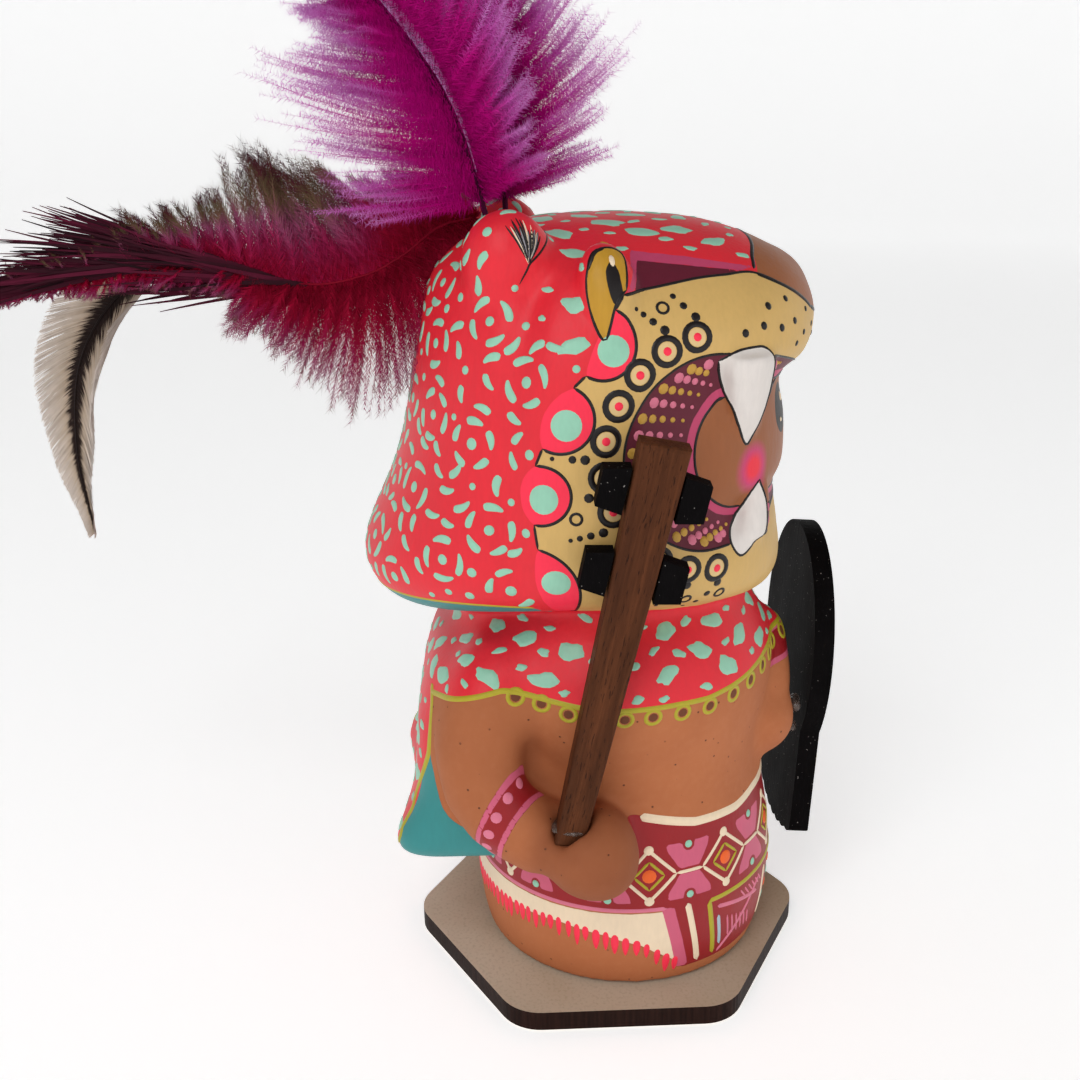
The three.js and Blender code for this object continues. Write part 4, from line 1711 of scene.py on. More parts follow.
    def _away_from(self, centres: Sequence[Array]) -> Array:
        """Measures how far each point of the clay lies from the nearest of some centres.

        Args:
            centres: the centres.

        Returns:
            The distances.
        """
        near = np.full(len(self.points), FAR)
        for centre in centres:
            near = np.minimum(near, lengths(self.points - centre))
        return near

    def _skin_at(self, index: int) -> tuple[Vector, Vector]:
        """Returns a point of the clay and its normal."""
        return Vector(self.points[index]), Vector(self.normals[index])

    def _hood(self) -> None:
        """Covers the hood with rosettes and loose strokes."""
        rosettes = self._masked((self.free > 1.2) & (self.behind > 1.6), 7.9, 14000)
        for index in rosettes:
            self._rosette(*self._skin_at(index))
        near = self._away_from(self.points[rosettes])
        fillers = self._masked((self.free > 1.1) & (self.behind > 0.4) & (near > 4.4), 2.75, 14000)
        for index in fillers:
            centre, normal = self._skin_at(index)
            if self.random.uniform() < 0.15 or self.free[index] < 2.2:
                self.mint.dab(centre, self.random.uniform(0.5, 0.75), sides=10)
            else:
                self._comma(centre, self._any_way(normal), self.random.uniform(2.4, 3.2), 1.2)

    def _any_way(self, normal: Vector) -> Vector:
        """Returns a random direction along the skin."""
        start = Vector((0, 0, 1)).cross(normal).normalized()
        return Matrix.Rotation(self.random.uniform(0, math.tau), 3, normal) @ start

    def _rosette(self, centre: Vector, normal: Vector) -> None:
        """Lays a dot with four or five bent strokes round it.

        Args:
            centre: its middle on the skin.
            normal: the skin's normal there.
        """
        self.mint.dab(centre, self.random.uniform(0.7, 0.86), sides=11)
        petals = int(self.random.choice((4, 4, 5, 5)))
        radius = self.random.uniform(2.65, 3.0)
        start = self._any_way(normal)
        way = int(self.random.choice(SIDES))
        for petal in range(petals):
            angle = math.tau * petal / petals + self.random.uniform(-0.14, 0.14)
            out = Matrix.Rotation(angle, 3, normal) @ start
            length = min(radius * math.tau / petals * 0.8, 3.9) * self.random.uniform(0.85, 1.05)
            if self.free[self.tree.find(centre + out * radius)[1]] > 1.0:
                bend = length / radius * way * 0.9
                self._comma(centre + out * radius, normal.cross(out) * way, length, bend)

    def _comma(self, centre: Vector, along: Vector, length: float, bend: float) -> None:
        """Lays one bent stroke with a full head and a thin tail.

        Args:
            centre: its middle on the skin.
            along: the way that it runs.
            length: its length.
            bend: how far it bends, in radians.
        """
        wide = self.random.uniform(0.5, 0.59)

        def warp(shape: Array) -> Array:
            """Bends the flat unit shape.

            Args:
                shape: its points.

            Returns:
                The bent points.
            """
            run = shape[:, 0] * length / 2
            blunt = np.sign(shape[:, 1]) * np.abs(shape[:, 1]) ** 0.65
            half = blunt * wide * (0.95 - 0.36 * shape[:, 0])
            angle = bend * run / length
            radius = length / max(abs(bend), 0.05) * (1 if bend > 0 else -1)
            off = radius - half
            return np.column_stack([off * np.sin(angle), radius - off * np.cos(angle)])

        self.mint.dab(centre, 1.0, along=along, warp=warp, sides=18)

    def _pebbles(self) -> None:
        """Spots the brow, crown, cowl and cape with uneven pebbles."""
        laid: list[Array] = []
        for spacing, size, margin in ((4.9, (1.3, 1.7), 2.1), (3.4, (0.5, 0.78), 1.0)):
            mask = (self.free > margin) & (self.behind < -1.6) & (self._away_from(laid) > 3.2)
            chosen = self._masked(mask, spacing, 9000)
            for index in chosen:
                self._pebble(*self._skin_at(index), self.random.uniform(*size))
            laid.extend(self.points[chosen])

    def _pebble(self, centre: Vector, normal: Vector, size: float) -> None:
        """Lays one uneven spot.

        Args:
            centre: its middle on the skin.
            normal: the skin's normal there.
            size: its radius.
        """
        stretch = self.random.uniform(1.2, 1.65)
        waves = [(k, self.random.uniform(0.06, 0.22) / k**0.5, self.random.uniform(0, math.tau))
                 for k in (3, 4, 5)]

        def warp(shape: Array) -> Array:
            """Gives the flat unit shape its uneven outline.

            Args:
                shape: its points.

            Returns:
                The moved points.
            """
            angle = np.arctan2(shape[:, 1], shape[:, 0])
            grown = 1 + sum(a * np.cos(k * angle + phase) for k, a, phase in waves)
            return np.column_stack([shape[:, 0] * grown * stretch, shape[:, 1] * grown / stretch**0.6])

        level = Matrix.Rotation(self.random.uniform(-0.6, 0.6), 3, normal) @ Vector((0, 0, 1)).cross(normal)
        self.mint.dab(centre, size, along=level.normalized(), warp=warp, sides=16)


@dataclass(frozen=True)
class FeatherFinish:
    """Barbs and down whose colour runs from the quill to the tips."""

    name: str
    stops: tuple[tuple[float, Colour], ...]
    roughness: float = 0.62

    def material(self) -> bpy.types.Material:
        """Returns the feather's material, which reads the shade stored on the mesh."""
        graph = Graph(self.name, 0.08)
        shade = graph.field("shade")
        ramp = graph.node("ShaderNodeValToRGB", {"stops": self.stops}, {"Fac": shade}, "Color")
        mottle = (graph.noise(1.6, 2.0) - 0.5) * 0.3 + 1.0
        return graph.dress(Base_Color=graph.tint(ramp, mottle), Roughness=self.roughness)


def copies(template: Mesh, count: int) -> Mesh:
    """Repeats a template.

    Args:
        template: its mesh.
        count: how often it is repeated.

    Returns:
        One mesh that holds them all.
    """
    obj = new_object("copies", template)
    array = obj.modifiers.new("copies", "ARRAY")
    array.count = count
    array.use_relative_offset = False
    settled(obj)
    mesh = obj.data
    bpy.data.objects.remove(obj)
    return mesh


@dataclass
class Strands:
    """Thin flat strands, all with as many joints, that are made one mesh."""

    joints: int
    sets: list[tuple[Array, ...]] = field(default_factory=list)

    def add(self, line: Array, width: Array, facing: Array, shade: Array) -> None:
        """Adds many strands at once.

        Args:
            line: their joints, as strands by joints by three.
            width: half width at each joint.
            facing: each strand's sideways direction.
            shade: colour place at each joint, from 0 to 1.
        """
        self.sets.append((line, width, facing, shade))

    def mesh(self) -> Mesh:
        """Returns the strands as one mesh with their shade stored on it."""
        line, width, facing, shade = (np.concatenate(values) for values in zip(*self.sets))
        template = strip_mesh(self.joints - 1, 1)
        flat = raw(template)
        joint = np.rint(flat[:, 0] * (self.joints - 1)).astype(int)
        sign = flat[:, 1]
        mesh = copies(template, len(line))
        points = line[:, joint] + (width[:, joint] * sign)[:, :, None] * facing[:, None, :]
        write_vertices(mesh, points.reshape(-1, 3))
        write_field(mesh, "shade", shade[:, joint].ravel())
        return mesh


@dataclass
class Hairs:
    """Very fine hairs, each one tapered facet, that are made one mesh."""

    sets: list[tuple[Array, Array]] = field(default_factory=list)

    def add(self, root: Array, tip: Array, across: Array, shade: Array) -> None:
        """Adds hairs.

        Args:
            root: where they start.
            tip: where they end.
            across: half of their width at the root.
            shade: colour place, from 0 to 1.
        """
        self.sets.append((np.stack([root - across, root + across, tip], axis=1), np.repeat(shade, 3)))

    def mesh(self) -> Mesh:
        """Returns the hairs as one mesh with their shade stored on it."""
        bm = bmesh.new()
        bmesh.ops.create_circle(bm, cap_ends=True, segments=3, radius=1.0)
        corners, shade = (np.concatenate(values) for values in zip(*self.sets))
        mesh = copies(mesh_of(bm, "hair"), len(corners))
        write_vertices(mesh, corners.reshape(-1, 3))
        write_field(mesh, "shade", shade)
        return mesh


class Vane(Enum):
    """What a feather is mostly made of."""

    DOWN = "down"
    SMOOTH = "smooth"


class Shaft:
    """A quill's line, with the ways ahead along it, out to its sides and through its vane."""

    def __init__(self, path: Sequence[Spot], tilt: float) -> None:
        """Works out the line.

        Args:
            path: its key points.
            tilt: degrees that the vane is turned about it.
        """
        self.curve = through(path, 400)
        self.length = lengths(np.diff(self.curve, axis=0)).sum()
        self.ahead = np.gradient(self.curve, axis=0)
        self.ahead /= lengths(self.ahead)[:, None]
        level = np.cross(self.ahead, (1.0, 0.0, 0.0))
        level /= lengths(level)[:, None]
        turn = math.radians(tilt)
        self.out = level * math.cos(turn) + np.cross(self.ahead, level) * math.sin(turn)
        self.depth = np.cross(self.ahead, self.out)

    def at(self, share: Array) -> tuple[Array, ...]:
        """Reads the line.

        Args:
            share: where, from 0 at the root to 1 at the tip.

        Returns:
            The places, and the ways ahead, out and through.
        """
        place = np.clip(share, 0, 1) * (len(self.curve) - 1)
        low = np.minimum(place.astype(int), len(self.curve) - 2)
        part = (place - low)[:, None]
        return tuple(v[low] * (1 - part) + v[low + 1] * part
                     for v in (self.curve, self.ahead, self.out, self.depth))


def group_means(values: Array, group: Array) -> Array:
    """Returns, for each value, the mean of its group."""
    return (np.bincount(group, values) / np.maximum(np.bincount(group), 1))[group]


@dataclass
class Feather:
    """One feather: a quill with barbs on both sides, and down on the barbs.

    Shares run from 0 at the root to 1 at the tip, and angles are in degrees.
    """

    name: str
    path: tuple[Spot, ...]
    half_width: Warp
    finish: FeatherFinish
    slot: str
    vane: Vane = Vane.DOWN
    barbs: int = 420  # on each side
    barbules: int = 92  # pairs on a barb
    start: float = 0.05  # share where the barbs start
    lean: float = 40.0  # of the barbs towards the tip
    tuft: int = 27  # barbs that gather to a point
    clump: int = 6  # barbs that cling together
    seed: int = 1
    quill: float = 0.42  # radius at the root
    strands: int = 0  # long dark ones
    dark_side: int = 0  # the side with darker barbs
    spread_out: float = 1.4  # how late the barbs leave the vane's plane
    skew: float = 1.0  # how much the barbs crowd near the root
    lower_width: Warp | None = None
    pale_edge: int = 0  # short pale barbs along the quill
    fade: float = 0.78  # shade at the tips
    pointed: float = 0.8  # how sharp the tufts are
    down_width: float = 0.062
    cupped: float = 1.6  # how far the tips bend out of the plane
    flow: float = 0.0  # how far the down leans along the barbs
    tilt: float = 0.0

    def __post_init__(self) -> None:
        """Works out the quill's line and starts without barbs."""
        self.rng = np.random.default_rng(self.seed)
        self.shaft = Shaft(self.path, self.tilt)
        self.flat = Strands(9)
        self.down = Hairs()

    def build(self) -> None:
        """Makes the feather."""
        for side in SIDES:
            self._side(side)
        if self.strands:
            self._long_strands()
        if self.pale_edge:
            self._pale_barbs()
        bm = bmesh.new()
        bm.from_mesh(self.flat.mesh())
        if self.barbules:
            bm.from_mesh(self.down.mesh())
        bm.from_mesh(self._quill_mesh())
        whole = mesh_of(bm, self.name)
        shade_smooth(whole)
        whole.materials.append(self.finish.material())
        attach(new_object(self.name, whole), self.slot, self.name.replace("_plume", ""))

    def _side(self, side: int) -> None:
        """Adds the barbs of one side, gathered in pointed tufts, and the down on them.

        Args:
            side: 1 below the quill, -1 above it.
        """
        rng, shaft, count = self.rng, self.shaft, self.barbs
        smooth = self.vane is Vane.SMOOTH
        even = np.sort((np.arange(count) + rng.uniform(0, 1, count)) / count)
        share = self.start + (1 - self.start) * even**self.skew
        numbers = np.arange(count)
        tuft = (numbers + int(rng.integers(self.tuft))) // self.tuft
        clump = (numbers + int(rng.integers(self.clump))) // self.clump
        middle, near = group_means(share, tuft), group_means(share, clump)
        aside = (numbers - np.searchsorted(tuft, tuft)) / self.tuft * 2 - 1
        reach = rng.uniform(0.84, 1.14, tuft.max() + 1)[tuft]
        reach = reach * (1 - 0.3 * self.pointed * np.abs(aside) ** 1.3)
        reach = reach * rng.uniform(0.9, 1.06, clump.max() + 1)[clump] * rng.uniform(0.86, 1.05, count)
        gather = (near - share) * shaft.length * (0.04 if smooth else 0.45)
        pointed = (middle - share) * shaft.length * (0.0 if smooth else self.pointed)
        if smooth:
            reach = 1 + rng.uniform(-0.02, 0.02, count)
        width = self.lower_width if side > 0 and self.lower_width else self.half_width
        length = width(share) * reach
        root, ahead, out, depth = shaft.at(share)
        s = np.linspace(0, 1, self.flat.joints)[None, :]
        spray = rng.uniform(0.9, 1.1, count) if smooth else rng.uniform(0.75, 1.25, count)
        lean = math.tan(math.radians(self.lean)) * (spray * (0.15 + 0.85 * smooth_step(share, 0.0, 0.3)))
        forward = (length[:, None] * lean[:, None] * s**1.35 + gather[:, None] * s**1.5
                   + pointed[:, None] * s**2.6)
        wave = np.zeros((count, 1))
        if not smooth:
            wave = rng.normal(0, 0.35, count)[:, None] * np.sin(s * rng.uniform(3, 7, (count, 1)))
        fall = rng.normal(0, 0.08 if smooth else 1.6, count)[:, None] * s**self.spread_out
        fall = fall + rng.normal(0, 0.05 if smooth else 1.3, tuft.max() + 1)[tuft][:, None] * s
        fall = fall + self.cupped * s**2
        line = (root[:, None] + out[:, None] * (side * length[:, None] * s)[..., None]
                + ahead[:, None] * (forward + wave)[..., None] + depth[:, None] * fall[..., None])
        half = (0.26 if smooth else 0.06) * (1 - 0.75 * s) * np.ones((count, 1))
        across = ahead * 0.9 + depth * rng.normal(0, 0.12 if smooth else 0.5, count)[:, None]
        across /= lengths(across)[:, None]
        tone = rng.uniform(-0.08, 0.08, count)
        if side == self.dark_side:
            tone = tone + 0.28 * smooth_step(share, 0.05, 0.22)
        self.flat.add(line, half, across, np.clip(s * self.fade + tone[:, None], 0, 1))
        if self.barbules:
            self._down(line, depth, length, tone)

    def _down(self, line: Array, depth: Array, length: Array, tone: Array) -> None:
        """Adds the fine side hairs of many barbs.

        Args:
            line: the barbs, as barbs by joints by three.
            depth: the way through the vane at each barb.
            length: each barb's length.
            tone: how much darker each barb is.
        """
        rng = self.rng
        count, joints, _ = line.shape
        numbers = np.arange(count)
        for k in range(self.barbules):
            for way in SIDES:
                place = ((k + rng.uniform(0, 1, count)) / self.barbules) ** 1.35
                spot = place * (joints - 1)
                low = np.minimum(spot.astype(int), joints - 2)
                part = (spot - low)[:, None]
                root = line[numbers, low] * (1 - part) + line[numbers, low + 1] * part
                along = line[numbers, low + 1] - line[numbers, low]
                along /= lengths(along)[:, None] + 1e-9
                size = rng.uniform(0.7, 1.9, count) * (1 - 0.5 * place) * np.clip(length / 7, 0.3, 1)
                aim = np.cross(along, depth) * way * rng.uniform(0.4, 1.0, count)[:, None]
                lean = rng.uniform(0.1, 0.9, count)[:, None] + self.flow
                aim += along * lean + depth * rng.normal(0, 0.6, count)[:, None]
                half = along * (self.down_width * (1 - 0.5 * place))[:, None]
                shade = np.clip(place * (self.fade + 0.06) + 0.05 + tone, 0, 1)
                self.down.add(root, root + aim * size[:, None], half, shade)

    def _long_strands(self) -> None:
        """Adds long dark strands that run on towards the tip."""
        rng, count = self.rng, self.strands
        share = rng.uniform(0.3, 0.86, count)
        side = rng.choice(SIDES, count)
        root, ahead, out, depth = self.shaft.at(share)
        length = rng.uniform(12, 28, count) * (1 - 0.4 * smooth_step(share, 0.55, 0.86))
        lower, upper = rng.uniform(0.5, 7.5, count), rng.uniform(0.2, 3.0, count)
        angle = np.radians(np.where(side > 0, lower, upper))[:, None]
        lower, upper = rng.uniform(-0.05, 0.12, count), rng.uniform(0.0, 0.14, count)
        bend = np.where(side > 0, lower, upper)[:, None]
        s = np.linspace(0, 1, self.flat.joints)[None, :]
        sweep = length[:, None] * s
        line = (root[:, None] + ahead[:, None] * (sweep * np.cos(angle))[..., None]
                + out[:, None] * (side[:, None] * sweep * (np.sin(angle) - bend * s))[..., None]
                + depth[:, None] * (rng.normal(0, 1.6, count)[:, None] * s)[..., None])
        half = 0.32 * (1 - 0.85 * s**2) * np.ones((count, 1))
        self.flat.add(line, half, np.cross(ahead, depth), rng.uniform(0.87, 0.98, (count, 1)) + 0.02 * s)

    def _pale_barbs(self) -> None:
        """Adds the short pale barbs that lie close along one side of the quill."""
        share = np.linspace(0.12, 0.97, self.pale_edge)
        root, ahead, out, depth = self.shaft.at(share)
        s = np.linspace(0, 1, self.flat.joints)[None, :]
        every = np.ones((self.pale_edge, 1))
        reach = (self.rng.uniform(0.9, 1.5, self.pale_edge) * smooth_step(share, 0.05, 0.5))[:, None]
        line = (root[:, None] + out[:, None] * (-(0.3 + reach * s))[..., None]
                + ahead[:, None] * (reach * 1.1 * s)[..., None] + depth[:, None] * 0.45)
        self.flat.add(line, 0.05 * (1 - 0.6 * s) * every, ahead, 0.97 * every * np.ones_like(s))

    def _quill_mesh(self) -> Mesh:
        """Returns the tapered quill's mesh."""
        rings, around = 60, 8
        bm = bmesh.new()
        bmesh.ops.create_cone(bm, cap_ends=False, segments=around, radius1=1, radius2=1, depth=1)
        long_edges = [e for e in bm.edges if abs(e.verts[0].co.z - e.verts[1].co.z) > 0.5]
        bmesh.ops.subdivide_edges(bm, edges=long_edges, cuts=rings - 1)
        mesh = mesh_of(bm, "quill")
        x, y, z = raw(mesh).T[..., None]
        centre, _, out, depth = self.shaft.at(z[:, 0] + 0.5)
        radius = self.quill * (1 - 0.8 * (z + 0.5))
        write_vertices(mesh, centre + out * x * radius + depth * y * radius)
        write_field(mesh, "shade", np.zeros(len(x)))
        return mesh


def leaf(opens: float, fullest: float, closes: float, tail: float) -> Warp:
    """Makes a feather outline that opens, is fullest at one place and draws in to its tip.

    Args:
        opens: share of the quill where it opens.
        fullest: share where it is fullest.
        closes: share where its fluff ends.
        tail: what is left of its width beyond.

    Returns:
        A function from share to width, with 1 for the fullest.
    """
    def shape(t: Array) -> Array:
        """Returns the width at shares of the quill."""
        fluff = 1 - smooth_step(t, fullest, closes)
        return np.maximum(0.05, smooth_step(t, opens, fullest) * (fluff * (1 - tail) + tail * (1 - t**3)))
    return shape


MAGENTA_STOPS = ((0.0, rgb(60, 0, 40)), (0.06, rgb(180, 0, 116)), (0.42, rgb(188, 6, 128)),
                 (0.64, rgb(194, 76, 172)), (1.0, rgb(206, 148, 210)))
CRIMSON_STOPS = ((0.0, rgb(124, 4, 32)), (0.3, rgb(158, 8, 48)), (0.5, rgb(150, 30, 78)),
                 (0.62, rgb(152, 76, 112)), (0.72, rgb(112, 84, 66)), (0.84, rgb(86, 74, 50)),
                 (0.88, rgb(84, 18, 42)), (1.0, rgb(30, 12, 18)))
CREAM_STOPS = ((0.0, rgb(28, 18, 16)), (0.17, rgb(40, 26, 22)), (0.27, rgb(176, 156, 136)),
               (1.0, rgb(222, 212, 206)))


def feathers() -> list[Feather]:
    """Returns the four feathers, from the front to the back."""
    opening = leaf(-0.3, 0.34, 1.12, 0.4)
    back = leaf(-0.35, 0.1, 0.85, 0.26)
    full = leaf(-0.5, 0.02, 0.75, 0.35)
    loose = leaf(-0.04, 0.17, 0.7, 0.3)
    lower = leaf(-0.12, 0.08, 0.5, 0.2)
    narrow = leaf(0.3, 0.6, 1.1, 0.12)
    return [
        Feather(
            "feather_magenta_front_plume",
            ((-2.6, 17, 111.6), (-4, 20.7, 123.9), (-5, 25.6, 132.4), (-6, 34, 142), (-7, 46, 151)),
            lambda t: 16.5 * opening(t), FeatherFinish("magenta_feather", MAGENTA_STOPS), "magenta_feather",
            seed=3, pale_edge=330, lower_width=lambda t: 24.0 * full(t), lean=34.0, tilt=20.0,
        ),
        Feather(
            "feather_magenta_back_plume",
            ((2.6, 14.4, 112), (4, 14.6, 124), (5, 15.6, 134), (6, 19.5, 144), (7, 26, 153)),
            lambda t: 17.0 * back(t), FeatherFinish("magenta_feather_back", MAGENTA_STOPS),
            "magenta_feather", seed=4, lean=34.0, tilt=-22.0,
        ),
        Feather(
            "feather_crimson_plume",
            ((-0.9, 18.6, 111.6), (-1.3, 23.5, 110.4), (-1.8, 28.4, 106.8), (-2.4, 34, 104.2),
             (-3, 42, 103.4), (-4, 55, 106.6), (-5, 75, 104.5), (-6, 92, 100)),
            lambda t: 18.5 * loose(t), FeatherFinish("crimson_feather", CRIMSON_STOPS), "crimson_feather",
            seed=5, start=0.0, lean=24.0, strands=800, pointed=0.3, down_width=0.12, cupped=1.0, flow=0.9,
            tilt=10.0, dark_side=-1, quill=0.25, spread_out=0.6, barbs=560, barbules=70, skew=1.7,
            lower_width=lambda t: 23.0 * lower(t), fade=0.56,
        ),
        Feather(
            "feather_rooster_plume",
            ((1.2, 20.4, 111), (3, 36, 107.4), (4, 52, 106.6), (5, 66, 103.2), (6, 75, 93), (7, 78, 79),
             (7, 77, 66)),
            lambda t: 6.6 * narrow(t), FeatherFinish("cream_feather", CREAM_STOPS, 0.5), "cream_feather",
            vane=Vane.SMOOTH, barbs=800, barbules=0, start=0.5, lean=52.0, clump=14, seed=6,
            cupped=0.9, tilt=28.0,
        ),
    ]


@dataclass(frozen=True)
class WoodFinish:
    """Dark reddish wood with fine long grain along one direction."""

    name: str = "dark_wood"
    grain_turn: tuple[float, float, float] = (-0.198, 0.082, 0.0)

    def material(self) -> bpy.types.Material:
        """Returns the wood's material."""
        graph = Graph(self.name, 0.05)
        fibre = graph.noise(0.35, 5.0, graph.stretched((1.0, 1.0, 0.06), self.grain_turn))
        band = graph.noise(1.5, 3.0, graph.stretched((1.0, 1.0, 0.1), self.grain_turn))
        pore = graph.noise(0.22, 2.0, graph.stretched((1.0, 1.0, 0.12), self.grain_turn)).above(0.66, 0.06)
        colour = graph.mix(band.above(0.5, 0.4), rgb(74, 42, 26), rgb(98, 56, 34))
        colour = graph.mix(fibre.above(0.55, 0.3) * 0.45, colour, rgb(54, 30, 18))
        colour = graph.mix(pore * 0.7, colour, rgb(36, 22, 18))
        return graph.dress(
            Base_Color=colour,
            Roughness=(fibre - 0.5) * 0.3 + 0.52,
            Normal=graph.bump(fibre - pore * 0.8, 0.06),
        )


@dataclass(frozen=True)
class BlackBoardFinish:
    """Matte black board with fine upright cutting marks on its edges and pale specks."""

    name: str = "black_board"

    def material(self) -> bpy.types.Material:
        """Returns the board's material."""
        graph = Graph(self.name, 0.02)
        cloud = graph.noise(6.0, 4.0)
        marks = graph.noise(0.4, 2.0, graph.stretched((1.0, 1.0, 0.1)))
        colour = graph.mix(cloud.above(0.5, 0.6), rgb(8, 7, 7), rgb(17, 15, 16))
        speck = graph.noise(0.35, 1.0).above(0.77, 0.02)
        colour = graph.mix(speck * 0.7, colour, rgb(170, 165, 160))
        return graph.dress(
            Base_Color=colour,
            Roughness=(cloud - 0.5) * 0.2 + 0.62,
            Normal=graph.bump(marks, 0.07),
        )


@dataclass(frozen=True)
class FibreboardFinish:
    """Pale brown fibreboard, its cut edge burnt dark."""

    name: str = "fibreboard"

    def material(self) -> bpy.types.Material:
        """Returns the fibreboard's material."""
        graph = Graph(self.name, 0.06)
        normal = graph.node("ShaderNodeNewGeometry", {}, {}, "Normal")
        up = graph.node("ShaderNodeSeparateXYZ", {}, {0: normal}, "Z")
        face = up.size().above(0.6, 0.2)
        cloud = graph.noise(14.0, 4.0)
        fibre = graph.noise(0.5, 3.0)
        marks = graph.noise(0.5, 2.0, graph.stretched((1.0, 1.0, 0.05)))
        top = graph.mix(cloud.above(0.5, 0.6), rgb(210, 197, 178), rgb(188, 172, 148))
        top = graph.mix(fibre.above(0.6, 0.2) * 0.25, top, rgb(140, 120, 98))
        # painted shade: the top turns darker and browner towards the front
        front = graph.node("ShaderNodeSeparateXYZ", {}, {0: graph.place()}, "Y") * -16.0 + 0.1
        top = graph.mix(front.above(0.5, 1.0) * 0.75, top, rgb(166, 134, 100))
        edge = graph.mix(marks.above(0.5, 0.3), rgb(28, 13, 9), rgb(42, 23, 17))
        return graph.dress(
            Base_Color=graph.mix(face, edge, top),
            Roughness=(fibre - 0.5) * 0.2 + 0.5,
            Normal=graph.bump(marks * (1 - face) * 0.4 + fibre * 0.2, 0.08),
        )


class Boards:
    """The club, its blades, the shield and the base plate, which keep their solids."""

    def dress(self) -> None:
        """Gives each solid its finish."""
        boards = (
            (WoodFinish(), ("club",)),
            (BlackBoardFinish(), ("shield", "blade_lower_rear", "blade_lower_front", "blade_upper_rear",
                                  "blade_upper_front")),
            (FibreboardFinish(), ("base_plate",)),
        )
        for finish, names in boards:
            material = finish.material()
            for name in names:
                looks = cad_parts[name].data.materials
                looks.clear()
                looks.append(material)
                LOG.info("%s: solid kept", name)


@dataclass
class ShieldPainting:
    """Plain painted rings and dots on the shield's front."""

    centre: Vector = field(default_factory=lambda: Vector((13.4, -30.9, 43.6)))
    yaw: float = -2.8
    lean: float = 3.1
    thick: float = 3.0

    def build(self) -> None:
        """Paints the shield's front."""
        skin = Surface(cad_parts["shield"])
        yaw, lean = math.radians(self.yaw), math.radians(self.lean)
        facing = Vector((math.sin(yaw), -math.cos(yaw), 0))
        across = Vector((math.cos(yaw), math.sin(yaw), 0))
        up = Vector((0, 0, math.cos(lean))) + facing * math.sin(lean)
        front = self.centre + across.cross(up) * self.thick

        def spot(x: float, y: float) -> Vector:
            """Returns a place on the front, across and up from its middle."""
            return front + across * x + up * y

        red, cream, mint = (Brush(f"shield_paint_{name}", PaintFinish(f"shield_paint_{name}", colour), skin)
                            for name, colour in (("red", RED), ("cream", CREAM), ("mint", MINT)))
        for brush, radius, width in ((red, 16.6, 2.0), (cream, 14.2, 0.8), (mint, 8.6, 1.1)):
            ring = [spot(radius * math.cos(a), radius * math.sin(a)) for a in np.linspace(0, math.tau, 90)]
            brush.stroke(ring, width, 0.12, 0.1)
        for k in range(20):
            angle = math.tau * k / 20
            cream.dab(spot(11.4 * math.cos(angle), 11.4 * math.sin(angle)), 0.85, lift=1.4)
        for k in range(8):
            angle = math.tau * (k + 0.5) / 8
            out = across * math.cos(angle) + up * math.sin(angle)
            red.dab(front + out * 4.6, 1.0, along=out, sides=14,
                    warp=lambda s: np.column_stack([s[:, 0] * 2.2, s[:, 1] * (0.9 + 0.5 * s[:, 0])]))
        mint.dab(front, 1.6, sides=16)
        fringes = 15
        for k in range(fringes):
            x = -15.4 + 2.2 * k
            low = -25.5 - 4.2 * math.sin(math.pi * (k + 0.5) / fringes)
            brush = (cream, mint, red)[k % 3]
            brush.stroke([spot(x, -17.6 if abs(x) < 11 else -13.5), spot(x, low)], 1.0, 0.14, 0.8)
        for brush in (red, cream, mint):
            brush.finish_piece("black_board")


@dataclass(frozen=True)
class GlueFinish:
    """Clear hard glue that has set glossy and a little cloudy."""

    name: str = "glue"

    def material(self) -> bpy.types.Material:
        """Returns the glue's material."""
        graph = Graph(self.name)
        cloud = graph.noise(0.8, 2.0)
        colour = graph.mix(cloud.above(0.5, 0.3), rgb(70, 52, 44), rgb(120, 104, 96))
        return graph.dress(Base_Color=colour, Roughness=0.12, Alpha=0.55, Coat_Weight=0.6,
                           Normal=graph.bump(cloud, 0.12))


@dataclass
class GlueBeads:
    """The set glue round the club's foot and between elbow and shield."""

    foot: tuple[float, float, float] = (-27.2, 7.7, 34.7)
    elbow: tuple[float, float, float] = (-2.0, -28.4, 37.0)

    def build(self) -> None:
        """Makes both beads as one piece."""
        bm = bmesh.new()
        rng = np.random.default_rng(5)
        for k in range(14):
            angle = math.tau * k / 14
            size = rng.uniform(0.5, 0.8)
            place = Vector(self.foot) + Vector((1.9 * math.sin(angle), 2.1 * math.cos(angle), -0.9))
            self._blob(bm, place, (size, size, size * 0.7))
        for k in range(5):
            aside = Vector((rng.uniform(-2, 2), rng.uniform(-0.4, 0.5), rng.uniform(-2.6, 2.6)))
            self._blob(bm, Vector(self.elbow) + aside, (1.0, 0.9, 1.1))
        mesh = mesh_of(bm, "glue_beads")
        write_vertices(mesh, raw(mesh))
        mesh.materials.append(GlueFinish().material())
        obj = new_object("glue_beads", mesh)
        voxel_skin(obj, 0.25)
        smoothing(obj, 6)
        settled(obj)
        shade_smooth(obj.data)
        attach(obj, "painted_clay")

    @staticmethod
    def _blob(bm: bmesh.types.BMesh, place: Vector, radii: tuple[float, float, float]) -> None:
        """Adds one rounded blob.

        Args:
            bm: takes it.
            place: its middle.
            radii: its radii along the axes.
        """
        shape = Matrix.Translation(place) @ Matrix.Diagonal((*radii, 1.0))
        bmesh.ops.create_icosphere(bm, subdivisions=2, radius=1.0, matrix=shape)


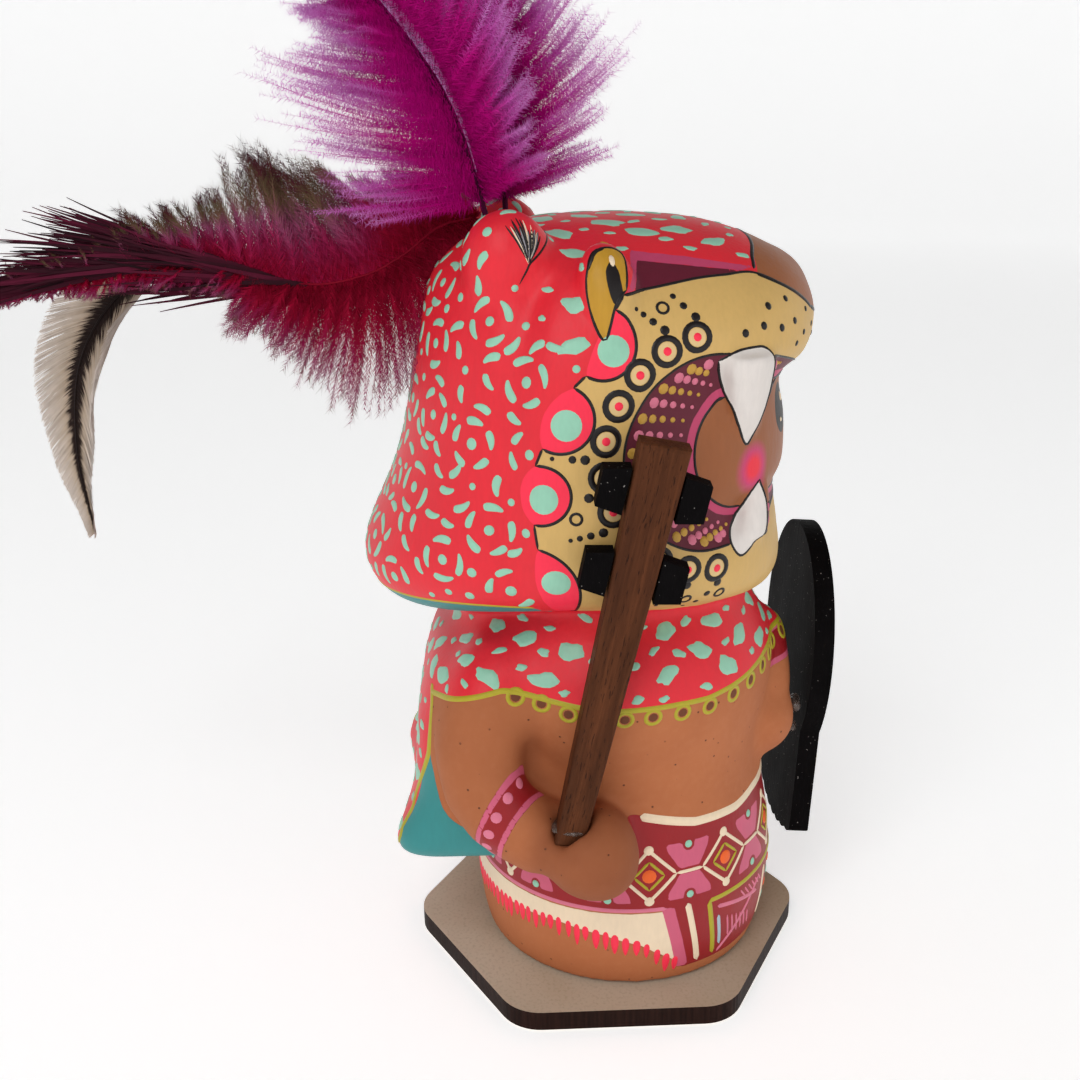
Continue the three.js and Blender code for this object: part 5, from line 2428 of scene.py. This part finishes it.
@dataclass
class Studio:
    """Pale floor, soft lights and the photograph's camera."""

    eye: tuple[float, float, float] = (-170.6, 16.8, 123.7)
    pitch: float = 18.89
    roll: float = -0.69
    yaw: float = -2.18
    lens: float = 40.83
    flat: float = 1.3
    bend: float = 0.5
    rise: float = 0.8
    ground: float = -0.0002

    def build(self) -> None:
        """Sets up everything that isn't part of the object."""
        self._camera()
        self._floor()
        self._lights()

    def _camera(self) -> None:
        """Places the camera."""
        pitch, yaw, roll = (math.radians(v) for v in (self.pitch, self.yaw, self.roll))
        ahead = Vector((math.cos(pitch) * math.cos(yaw), math.cos(pitch) * math.sin(yaw), -math.sin(pitch)))
        right = Vector((math.sin(yaw), -math.cos(yaw), 0))
        up = right.cross(ahead)
        across = right * math.cos(roll) + up * math.sin(roll)
        above = up * math.cos(roll) - right * math.sin(roll)
        data = bpy.data.cameras.new("camera")
        data.lens = self.lens
        data.sensor_width = 36.0
        data.clip_start = 0.01
        camera = bpy.data.objects.new("camera", data)
        turn = Matrix((across, above, -ahead)).transposed().to_4x4()
        camera.matrix_world = Matrix.Translation(Vector(self.eye) * MM) @ turn
        bpy.context.scene.collection.objects.link(camera)
        bpy.context.scene.camera = camera

    def _floor(self) -> None:
        """Makes the pale round floor, whose rim rises in a soft bend all round."""
        bm = bmesh.new()
        bmesh.ops.create_grid(bm, x_segments=96, y_segments=24, size=1.0)
        for vert in bm.verts:
            angle = vert.co.x * math.pi
            run = (vert.co.y + 1) / 2 * (self.flat + self.bend * math.pi / 2)
            turn = min(max(run - self.flat, 0.0) / self.bend, math.pi / 2)
            out = min(run, self.flat) + self.bend * math.sin(turn)
            vert.co = (out * math.cos(angle), out * math.sin(angle), self.rise * (1 - math.cos(turn)))
        bmesh.ops.remove_doubles(bm, verts=bm.verts[:], dist=1e-5)
        mesh = mesh_of(bm, "floor")
        shade_smooth(mesh)
        floor = new_object("floor", mesh)
        floor.location.z = self.ground
        graph = Graph("floor")
        mesh.materials.append(graph.dress(Base_Color=rgb(244, 244, 244), Roughness=0.9,
                                          Emission_Color=(1.0, 1.0, 1.0), Emission_Strength=0.47))

    @staticmethod
    def _lights() -> None:
        """Places the soft lights and a pale surrounding."""
        world = bpy.data.worlds.new("studio")
        world.use_nodes = True
        around = world.node_tree.nodes["Background"].inputs
        around["Color"].default_value = (1.0, 1.0, 1.0, 1.0)
        around["Strength"].default_value = 0.2
        bpy.context.scene.world = world
        lamps = (("key", (-0.5, 0.25, 0.6), 0.4, 2.1), ("front", (-0.6, -0.5, 0.3), 0.6, 0.62))
        for name, place, size, power in lamps:
            data = bpy.data.lights.new(name, "AREA")
            data.shape = "SQUARE"
            data.size = size
            data.energy = power
            lamp = bpy.data.objects.new(name, data)
            spot = Vector(place)
            lamp.location = spot
            lamp.rotation_euler = (Vector((0, 0, 0.07)) - spot).to_track_quat("-Z", "Y").to_euler()
            bpy.context.scene.collection.objects.link(lamp)
        bpy.context.scene.view_settings.view_transform = "Standard"


def main() -> None:
    """Builds the figurine's looks piece by piece."""
    logging.basicConfig(level=logging.INFO, format="%(name)s %(message)s")
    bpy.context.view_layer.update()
    Studio().build()
    figure = ClayFigure()
    clay = figure.build()
    PaintedPatterns(clay, figure.form).build()
    for feather in feathers():
        feather.build()
    Boards().dress()
    ShieldPainting().build()
    GlueBeads().build()


if __name__ == "__main__":
    main()
